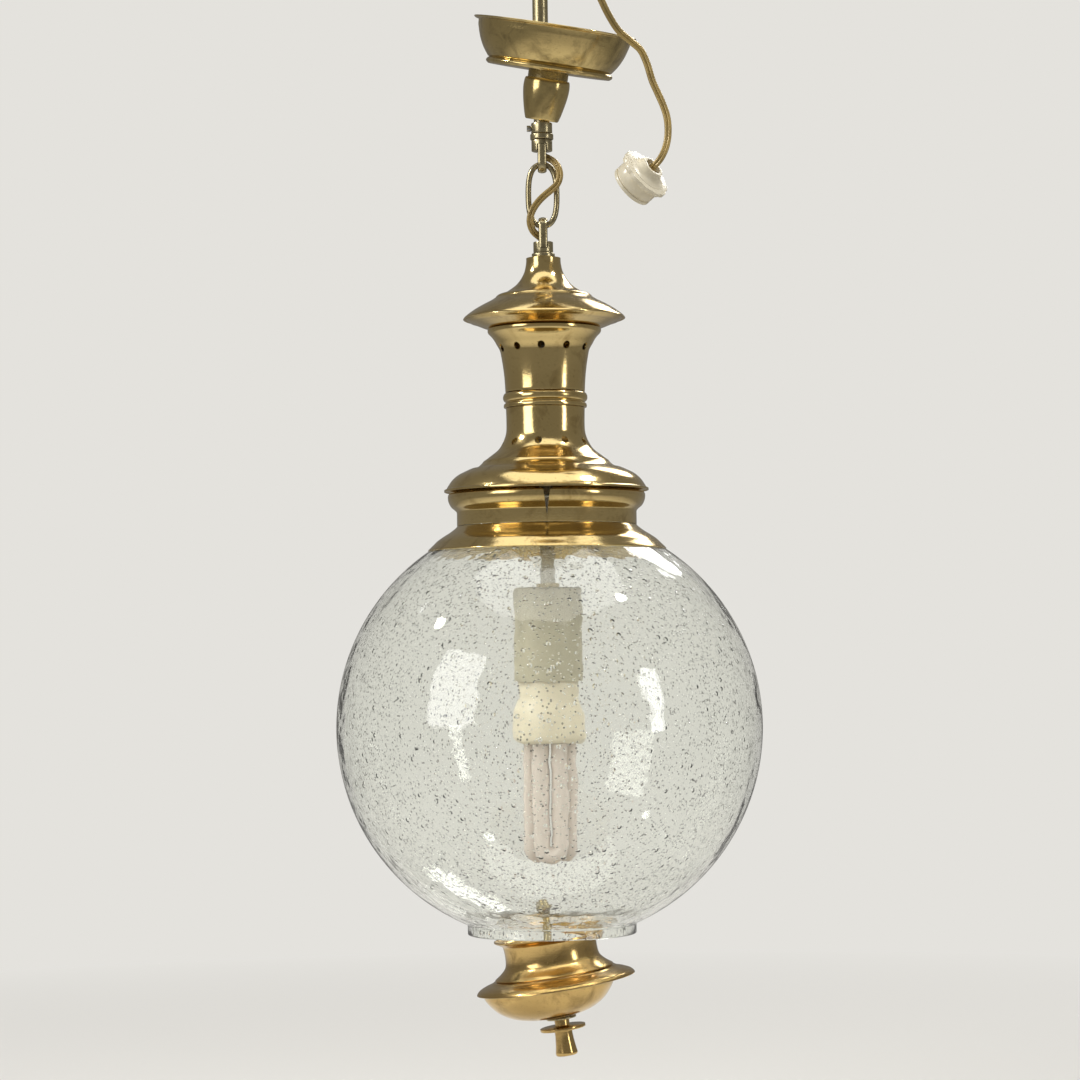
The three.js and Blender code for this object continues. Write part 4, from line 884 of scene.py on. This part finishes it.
class LAMP_OT_chimneys(bpy.types.Operator):
    """Upper and lower chimney with their rows of vent holes, and the waist bead between them"""
    bl_idname = "lamp.chimneys"
    bl_label = "Chimneys"

    def execute(self, context):
        s = sizes(LanternSizes)
        top = high("upper_chimney")
        drop, radius = top - low("upper_chimney"), high("upper_chimney", 0)
        upper = turned("smooth_upper_chimney", sheet([
            (radius - 4.2 * MM, top), (radius, top), (radius, top - 0.045 * drop),
            *shaped([(.07, .985), (.12, .93), (.175, .885), (.24, .845), (.33, .79), (.43, .765), (.60, .735),
                     (.78, .713), (1, .699)], top, drop, radius)], s.wall))
        vented(upper, "upper_chimney", vents(s.upper_vents, -4.2, s.vent_radius, radius, top - s.upper_row))

        top = high("waist_bead")
        drop, radius = top - low("waist_bead"), high("waist_bead", 0)
        inner = 25.6 * MM
        spun("waist_bead", [
            (inner, top), *shaped([(0, .93), (.06, .965), (.18, .99), (.32, 1), (.48, .99), (.58, .965)], top, drop,
                                  radius),
            *shaped([(.63, .940), (.69, .940)], top, drop, radius),
            *shaped([(.74, .968), (.80, .98), (.90, .985), (1, .978)], top, drop, radius),
            (inner, top - drop), (inner, top)], "spun_brass", 0.2 * MM)

        top, radius = high("lower_chimney"), s.shoulder_radius
        drop = top - low("lower_chimney") - 0.5 * MM
        lower = turned("smooth_lower_chimney", sheet([
            *shaped([(0, .386), (.15, .383), (.27, .385), (.345, .398), (.42, .424), (.50, .468), (.58, .55),
                     (.615, .588)], top, drop, radius),
            *shaped([(.635, .612), (.66, .628), (.69, .655), (.712, .682)], top, drop, radius),
            *shaped([(.722, .732), (.75, .785), (.80, .865), (.86, .922), (.93, .962), (.965, .978)], top, drop,
                    radius),
            (radius, top - 0.975 * drop), (radius, top - drop)], s.wall))
        vented(lower, "lower_chimney", vents(s.lower_vents, -10, s.vent_radius, 28 * MM, top - s.lower_row))
        return {"FINISHED"}


class LAMP_OT_collar(bpy.types.Operator):
    """Split collar with its V slit at the front, and the skirt ring that rests on the glass"""
    bl_idname = "lamp.collar"
    bl_label = "Collar and skirt"

    def execute(self, context):
        s = sizes(LanternSizes)
        top, foot = high("split_collar"), low("split_collar")
        radius = high("split_collar", 0)
        collar = turned("smooth_split_collar", sheet([
            (62 * MM, top), (radius - 1.0 * MM, top), (radius - 0.1 * MM, top - 1.2 * MM),
            *flowing([(radius, top - 3 * MM), (radius - 0.5 * MM, top - 5.8 * MM), (radius - 2.3 * MM, top - 9.3 * MM),
                      (radius - 4.9 * MM, top - 11.6 * MM), (63.7 * MM, top - 12.9 * MM)]),
            (63.5 * MM, top - 13.6 * MM), (63.5 * MM, foot)], s.wall))
        # A three-sided prism, point down, makes the V
        deep = s.slit_depth + 2 * MM
        slit = cutter("cylinder", vertices=3, radius=1, depth=1, rotation=(math.radians(-90), 0, 0))
        slit.matrix_world = (Matrix.Translation((0, -67 * MM, top + 2 * MM - deep / 3))
                             @ Matrix.Diagonal((s.slit_top / math.sqrt(3), 14 * MM, deep / 1.5, 1)))
        settle(slit)
        cut(soften(collar, 0.3 * MM), [slit])
        dress(smooth(collar), "split_collar", finish("spun_brass"))

        top, foot = high("skirt_ring"), low("skirt_ring") + 0.6 * MM
        inner, outer = 63.4 * MM, high("skirt_ring", 0)
        spread = [(0, 0), (.09, .07), (.26, .25), (.42, .46), (.60, .67), (.77, .81), (.92, .94), (1, 1)]
        spun("skirt_ring", sheet(flowing([(inner + out * (outer - inner), top - down * (top - foot))
                                          for down, out in spread]), s.wall), "spun_brass")
        return {"FINISHED"}


# ---------------------------------------------------------------- globe, holder and bulb

class LAMP_OT_globe(bpy.types.Operator):
    """Glass globe: two walls of a sphere, a beaded neck in the collar and a straight lip round the mouth"""
    bl_idname = "lamp.globe"
    bl_label = "Glass globe"

    def execute(self, context):
        s = sizes(GlobeSizes)
        centre = low("globe") + s.mouth_drop
        head = high("globe")
        inside, neck, mouth = s.radius - s.glass, s.neck_radius - s.glass, s.mouth_radius - s.glass
        foot = head - s.bead_height
        globe = turned("smooth_globe", [
            (neck, head), (s.neck_radius + s.bead_width, head), (s.neck_radius + s.bead_width, foot),
            (s.neck_radius, foot),
            *arc(s.radius, centre, math.asin(s.neck_radius / s.radius),
                 math.pi - math.asin(s.mouth_radius / s.radius), 72),
            (s.mouth_radius, centre - s.mouth_drop), (mouth, centre - s.mouth_drop),
            *arc(inside, centre, math.pi - math.asin(mouth / inside), math.asin(neck / inside), 72),
            (neck, head)], 128)
        dress(soften(globe, 0.9 * MM, 24, 3), "globe", finish("seeded_glass"))
        return {"FINISHED"}


class LAMP_OT_holder(bpy.types.Operator):
    """Lampholder: pale outer sleeve, and the porcelain core and contact inside it"""
    bl_idname = "lamp.holder"
    bl_label = "Lampholder"

    def execute(self, context):
        top, foot, radius = high("holder_sleeve"), low("holder_sleeve"), high("holder_sleeve", 0)
        spun("holder_sleeve", sheet([
            (TUBE_BORE, top), (radius - 1.8 * MM, top), (radius - 0.5 * MM, top - 0.6 * MM), (radius, top - 2 * MM),
            (radius, foot)], 1.2 * MM), "sleeve", 0.3 * MM, 80)
        paint("holder_core", finish("porcelain"))
        paint("centre_contact", finish("wire_brass"))
        return {"FINISHED"}


class LAMP_OT_bulb(bpy.types.Operator):
    """Compact fluorescent lamp: screw shell, tip, ballast housing and three U tubes"""
    bl_idname = "lamp.bulb"
    bl_label = "Bulb"

    def execute(self, context):
        top, foot, radius = high("ballast_housing"), low("ballast_housing"), high("ballast_housing", 0)
        drop = top - foot
        spun("ballast_housing", on_axis([
            (21.2 * MM, top), *flowing([(21.2 * MM, top - .36 * drop), (21.6 * MM, top - .42 * drop),
                                        (23.4 * MM, top - .50 * drop), (25.1 * MM, top - .57 * drop),
                                        (radius, top - .64 * drop)]),
            *flowing([(radius, top - .90 * drop), (radius - 0.6 * MM, top - .95 * drop),
                      (radius - 2 * MM, top - .985 * drop), (22.4 * MM, foot)])]), "cream_plastic", 0.3 * MM, 80)

        shell_foot, shell_top = low("bulb_screw_shell"), high("bulb_screw_shell")
        pitch = (shell_top - shell_foot) / 4
        wave = [(12.75 * MM + 0.45 * MM * math.cos(2 * math.pi * i / 12), shell_top - pitch * (0.5 + i / 12))
                for i in range(37)]
        shell = turned("smooth_bulb_screw_shell", on_axis([(8 * MM, shell_top), *wave, (13.2 * MM, shell_foot)]), 64)
        dress(smooth(shell), "bulb_screw_shell", finish("nickel"))
        paint("bulb_tip_contact", finish("wire_brass"))

        circle, tube_radius = 13 * MM, 5.8 * MM
        spread, out = circle * math.sin(math.pi / 6), circle * math.cos(math.pi / 6)
        for i in range(3):
            node = f"u_tube_{i + 1}"
            bend_centre = low(node) + spread + tube_radius
            pair = arch("smooth_" + node, 2 * tube_radius, 2 * tube_radius, high(node), bend_centre, spread, 28, 20)
            around = 2 * math.pi * i / 3
            pair.matrix_world = (Matrix.Translation((out * math.sin(around), -out * math.cos(around), 0))
                                 @ Matrix.Rotation(around + math.pi / 2, 4, "Z"))
            dress(smooth(settle(pair)), node, finish("phosphor_tube"))
        return {"FINISHED"}


# ---------------------------------------------------------------- bottom closure

class LAMP_OT_closure(bpy.types.Operator):
    """Bottom closure: cross bar in the globe, ball nut, rod, finial neck and rim, dome, washer and knob"""
    bl_idname = "lamp.closure"
    bl_label = "Bottom closure"

    def execute(self, context):
        s = sizes(ClosureSizes)
        pivot, wall = JOINT["finial_tilt"]["pos_m"], SHEET
        rim, hole = -s.rim_drop, s.rod_radius + PLAY

        def lean_on(piece, node, name, shift=0.0):
            return dress(leaned(piece, pivot, -s.lean, shift=shift), node, finish(name))

        corner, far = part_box("cross_bar")
        bar = cutter("cube", name="smooth_cross_bar", size=1, location=(corner + far) / 2, scale=far - corner)
        bar.data.name = bar.name
        cut(soften(bar, 0.6 * MM, segments=3), [cutter("cube", size=1, location=(pivot[0], 0, (corner.z + far.z) / 2),
                                                       scale=(10.8 * MM, 6.8 * MM, 6 * MM))])
        dress(smooth(bar), "cross_bar", finish("steel"))

        lowest, ball_radius = math.asin(hole / s.ball_radius), s.ball_radius
        ball = [(ball_radius * math.sin(a), -ball_radius * math.cos(a))
                for a in (lowest + (math.pi / 2 - lowest) * i / 10 for i in range(11))]
        lean_on(smooth(turned("smooth_ball_nut", [*ball, (ball_radius, 1.2 * MM), (hole, 1.2 * MM), ball[0]], 48)),
                "ball_nut", "wire_brass")

        top, radius = rim + 35.3 * MM, s.lip_radius
        drop = 26.7 * MM
        neck = turned("smooth_finial_neck", sheet([
            (radius, top), *shaped([(.035, 1), (.07, .97), (.11, .915), (.15, .868), (.22, .848), (.42, .838),
                                    (.62, .846), (.73, .87), (.82, .92), (.91, .99)], top, drop, radius),
            (41.9 * MM, top - drop)], wall))
        lean_on(soften(neck), "finial_neck", "warm_brass")

        plate, edge = rim + 7.3 * MM, s.rim_radius
        skirt = turned("smooth_finial_rim", sheet([
            (hole, plate), (41.9 * MM, plate),
            *shaped([(.04, .775), (.16, .80), (.30, .86)], plate, 7.3 * MM, edge),
            *shaped([(.36, .885), (.60, .955), (.85, .99), (1, 1)], plate, 7.3 * MM, edge)], wall))
        lean_on(soften(skirt), "finial_rim", "warm_brass")

        top, drop, radius = rim + 1.6 * MM, 24.8 * MM, s.dome_radius
        rim_hole = s.rod_radius + s.dome_shift + PLAY
        dome = turned("smooth_finial_dome", sheet([
            *shaped([(0, 1), (.20, .975), (.39, .915), (.64, .795), (.84, .615), (.94, .436)], top, drop, radius),
            (rim_hole + 4 * MM, top - .985 * drop), (rim_hole, top - drop)], wall))
        lean_on(soften(dome), "finial_dome", "warm_brass", -s.dome_shift)

        head = top - drop - PLAY
        washer = turned("smooth_dome_washer", tube(hole, 10.5 * MM, head - 1.2 * MM, head), 64)
        lean_on(soften(washer, 0.3 * MM), "dome_washer", "wire_brass")

        boss = head - 1.5 * MM
        flange = boss - 4.9 * MM
        foot = flange - 20.5 * MM
        floor = foot + 4 * MM
        barrel = flange - 2.2 * MM
        knob = turned("smooth_knob", [
            (0, floor), (hole, floor), (hole, boss), (5.2 * MM, boss), (5.2 * MM, flange + 0.6 * MM),
            (6 * MM, flange), (16 * MM, flange), (16 * MM, barrel), (7.2 * MM, barrel),
            *flowing([(6.2 * MM, barrel - 1 * MM), (6.3 * MM, barrel - 5 * MM), (6.9 * MM, barrel - 11 * MM),
                      (7.8 * MM, foot + 1.6 * MM)]),
            (7.6 * MM, foot + 0.5 * MM), (6.9 * MM, foot), (0, foot), (0, floor)], 80)
        lean_on(soften(knob, 0.4 * MM, segments=3), "knob", "warm_brass")
        rod = turned("smooth_closure_rod", on_axis([(s.rod_radius, 3.6 * MM), (s.rod_radius, floor + PLAY)]), 40)
        lean_on(soften(rod, 0.3 * MM), "closure_rod", "wire_brass")
        return {"FINISHED"}


# ---------------------------------------------------------------- camera, lights and backdrop

# The picture's viewpoint, found from the globe's size and the ellipses of its rims
CAMERA_PLACE = (-5 * MM, -2118 * MM, -511 * MM)
CAMERA_PITCH, CAMERA_ROLL = math.radians(92.3), math.radians(-0.75)


class LAMP_OT_camera(bpy.types.Operator):
    """Camera with a long lens, a little under the globe's middle, looking up two degrees"""
    bl_idname = "lamp.camera"
    bl_label = "Camera"

    def execute(self, context):
        deselect()
        bpy.ops.object.camera_add(location=CAMERA_PLACE)
        camera = bpy.context.active_object
        camera.name = camera.data.name = "studio_camera"
        camera.matrix_world = (Matrix.Translation(camera.location) @ Matrix.Rotation(CAMERA_PITCH, 4, "X")
                               @ Matrix.Rotation(CAMERA_ROLL, 4, "Z"))
        camera.data.lens = 100
        camera.data.sensor_width = 36
        bpy.context.scene.camera = camera
        return {"FINISHED"}


def soft_light(name, place, target, size, power, shape="SQUARE", height=None):
    """Area light that faces a point: a square, a round disk or a tall panel."""
    deselect()
    bpy.ops.object.light_add(type="AREA", location=place)
    light = bpy.context.active_object
    light.name = light.data.name = name
    light.data.shape = shape
    light.data.size = size
    if height:
        light.data.size_y = height
    light.data.energy = power
    light.rotation_euler = (Vector(target) - Vector(place)).to_track_quat("-Z", "Y").to_euler()
    return light


# The floor's size and level, and the distances between which it fades into the backdrop
FLOOR_SIZE, FLOOR_LEVEL, FADE = 16, -0.86, (0.35, 1.5)


def seen_directly(tree):
    """1 on the rays by which the camera sees a surface, also through glass, and 0 on those that light the lamp."""
    path = add(tree, "LightPath")
    return add(tree, "Math", {0: path.outputs["Is Camera Ray"], 1: path.outputs["Is Transmission Ray"]},
               operation="MAXIMUM").outputs[0]


class LAMP_OT_stage(bpy.types.Operator):
    """Pale floor and backdrop with soft lights from the upper left and right"""
    bl_idname = "lamp.stage"
    bl_label = "Stage"

    def execute(self, context):
        pale = opaque(tuple(sizes(LampColours).floor))
        deselect()
        bpy.ops.mesh.primitive_plane_add(size=FLOOR_SIZE, location=(0, 0, FLOOR_LEVEL))
        floor = bpy.context.active_object
        floor.name = floor.data.name = "floor"
        settle(floor)
        material, tree, place = blank("Matt paper floor, fading to the backdrop")
        level = add(tree, "VectorMath", {0: place, 1: (1, 1, 0)}, operation="MULTIPLY").outputs["Vector"]
        away = add(tree, "VectorMath", {0: level}, operation="LENGTH").outputs["Value"]
        fade = ramp(tree, away, *FADE)
        paper = add(tree, "BsdfDiffuse", {"Color": pale})
        seen = seen_directly(tree)
        glow = add(tree, "Emission", {"Color": pale, "Strength": ramp(tree, seen, 0.0, 1.0, 0.3, 1.0)})
        mixed = add(tree, "MixShader", {0: fade, 1: paper.outputs["BSDF"], 2: glow.outputs["Emission"]})
        add(tree, "OutputMaterial", {"Surface": mixed.outputs["Shader"]})
        floor.data.materials.append(material)

        world = bpy.data.worlds.new("Pale studio")
        bpy.context.scene.world = world
        world.use_nodes = True
        tree = world.node_tree
        tree.nodes.clear()
        seen = seen_directly(tree)
        dim = add(tree, "Background", {"Color": opaque(linear("#E6E3DC")), "Strength": 0.27})
        pale_back = add(tree, "Background", {"Color": pale, "Strength": 1.0})
        both = add(tree, "MixShader", {0: seen, 1: dim.outputs["Background"], 2: pale_back.outputs["Background"]})
        add(tree, "OutputWorld", {"Surface": both.outputs["Shader"]})

        middle, globe = (0, 0, -0.4), (0, 0, -0.558)
        lights = [
            soft_light("key_light", (-2.1, -1.6, 0.4), middle, 1.3, 22, "RECTANGLE", 1.7),
            soft_light("fill_light", (2.0, -1.3, 0.0), middle, 0.35, 7, "RECTANGLE", 1.2),
            soft_light("rim_light", (0.8, 1.6, 0.9), middle, 0.8, 10, "DISK"),
            soft_light("top_light", (0, -0.2, 2.4), middle, 3.2, 34, "DISK"),
            soft_light("spark_left", (-1.14, -0.16, 0.55), globe, 0.13, 7, "DISK"),
            soft_light("spark_right", (0.77, -0.22, 0.83), globe, 0.13, 7, "DISK"),
        ]
        return {"FINISHED"}


# ---------------------------------------------------------------- panel, registration and the run

OPERATORS = (LAMP_OT_camera, LAMP_OT_plug, LAMP_OT_flexes, LAMP_OT_stem, LAMP_OT_link, LAMP_OT_canopy, LAMP_OT_hood,
             LAMP_OT_chimneys, LAMP_OT_collar, LAMP_OT_globe, LAMP_OT_holder, LAMP_OT_bulb, LAMP_OT_closure,
             LAMP_OT_stage)


class LAMP_PT_panel(bpy.types.Panel):
    """The lamp's pieces, sizes and colours in the 3D view's sidebar"""
    bl_idname = "LAMP_PT_panel"
    bl_label = "Ceiling lamp"
    bl_space_type = "VIEW_3D"
    bl_region_type = "UI"
    bl_category = "Lamp"

    def draw(self, context):
        for operator in OPERATORS:
            self.layout.operator(operator.bl_idname)
        for group in GROUPS:
            box = self.layout.box()
            for key in group.__annotations__:
                box.prop(sizes(group), key)


def register():
    for group in GROUPS:
        bpy.utils.register_class(group)
        setattr(bpy.types.Scene, "lamp_" + group.__name__.lower(), bpy.props.PointerProperty(type=group))
    for kind in (*OPERATORS, LAMP_PT_panel):
        bpy.utils.register_class(kind)


def unregister():
    for kind in (LAMP_PT_panel, *reversed(OPERATORS)):
        bpy.utils.unregister_class(kind)
    for group in reversed(GROUPS):
        delattr(bpy.types.Scene, "lamp_" + group.__name__.lower())
        bpy.utils.unregister_class(group)


def main():
    register()
    bpy.context.scene.view_settings.view_transform = "Standard"
    for operator in OPERATORS:
        family, name = operator.bl_idname.split(".")
        getattr(getattr(bpy.ops, family), name)()
    deselect()


if __name__ == "__main__":
    main()
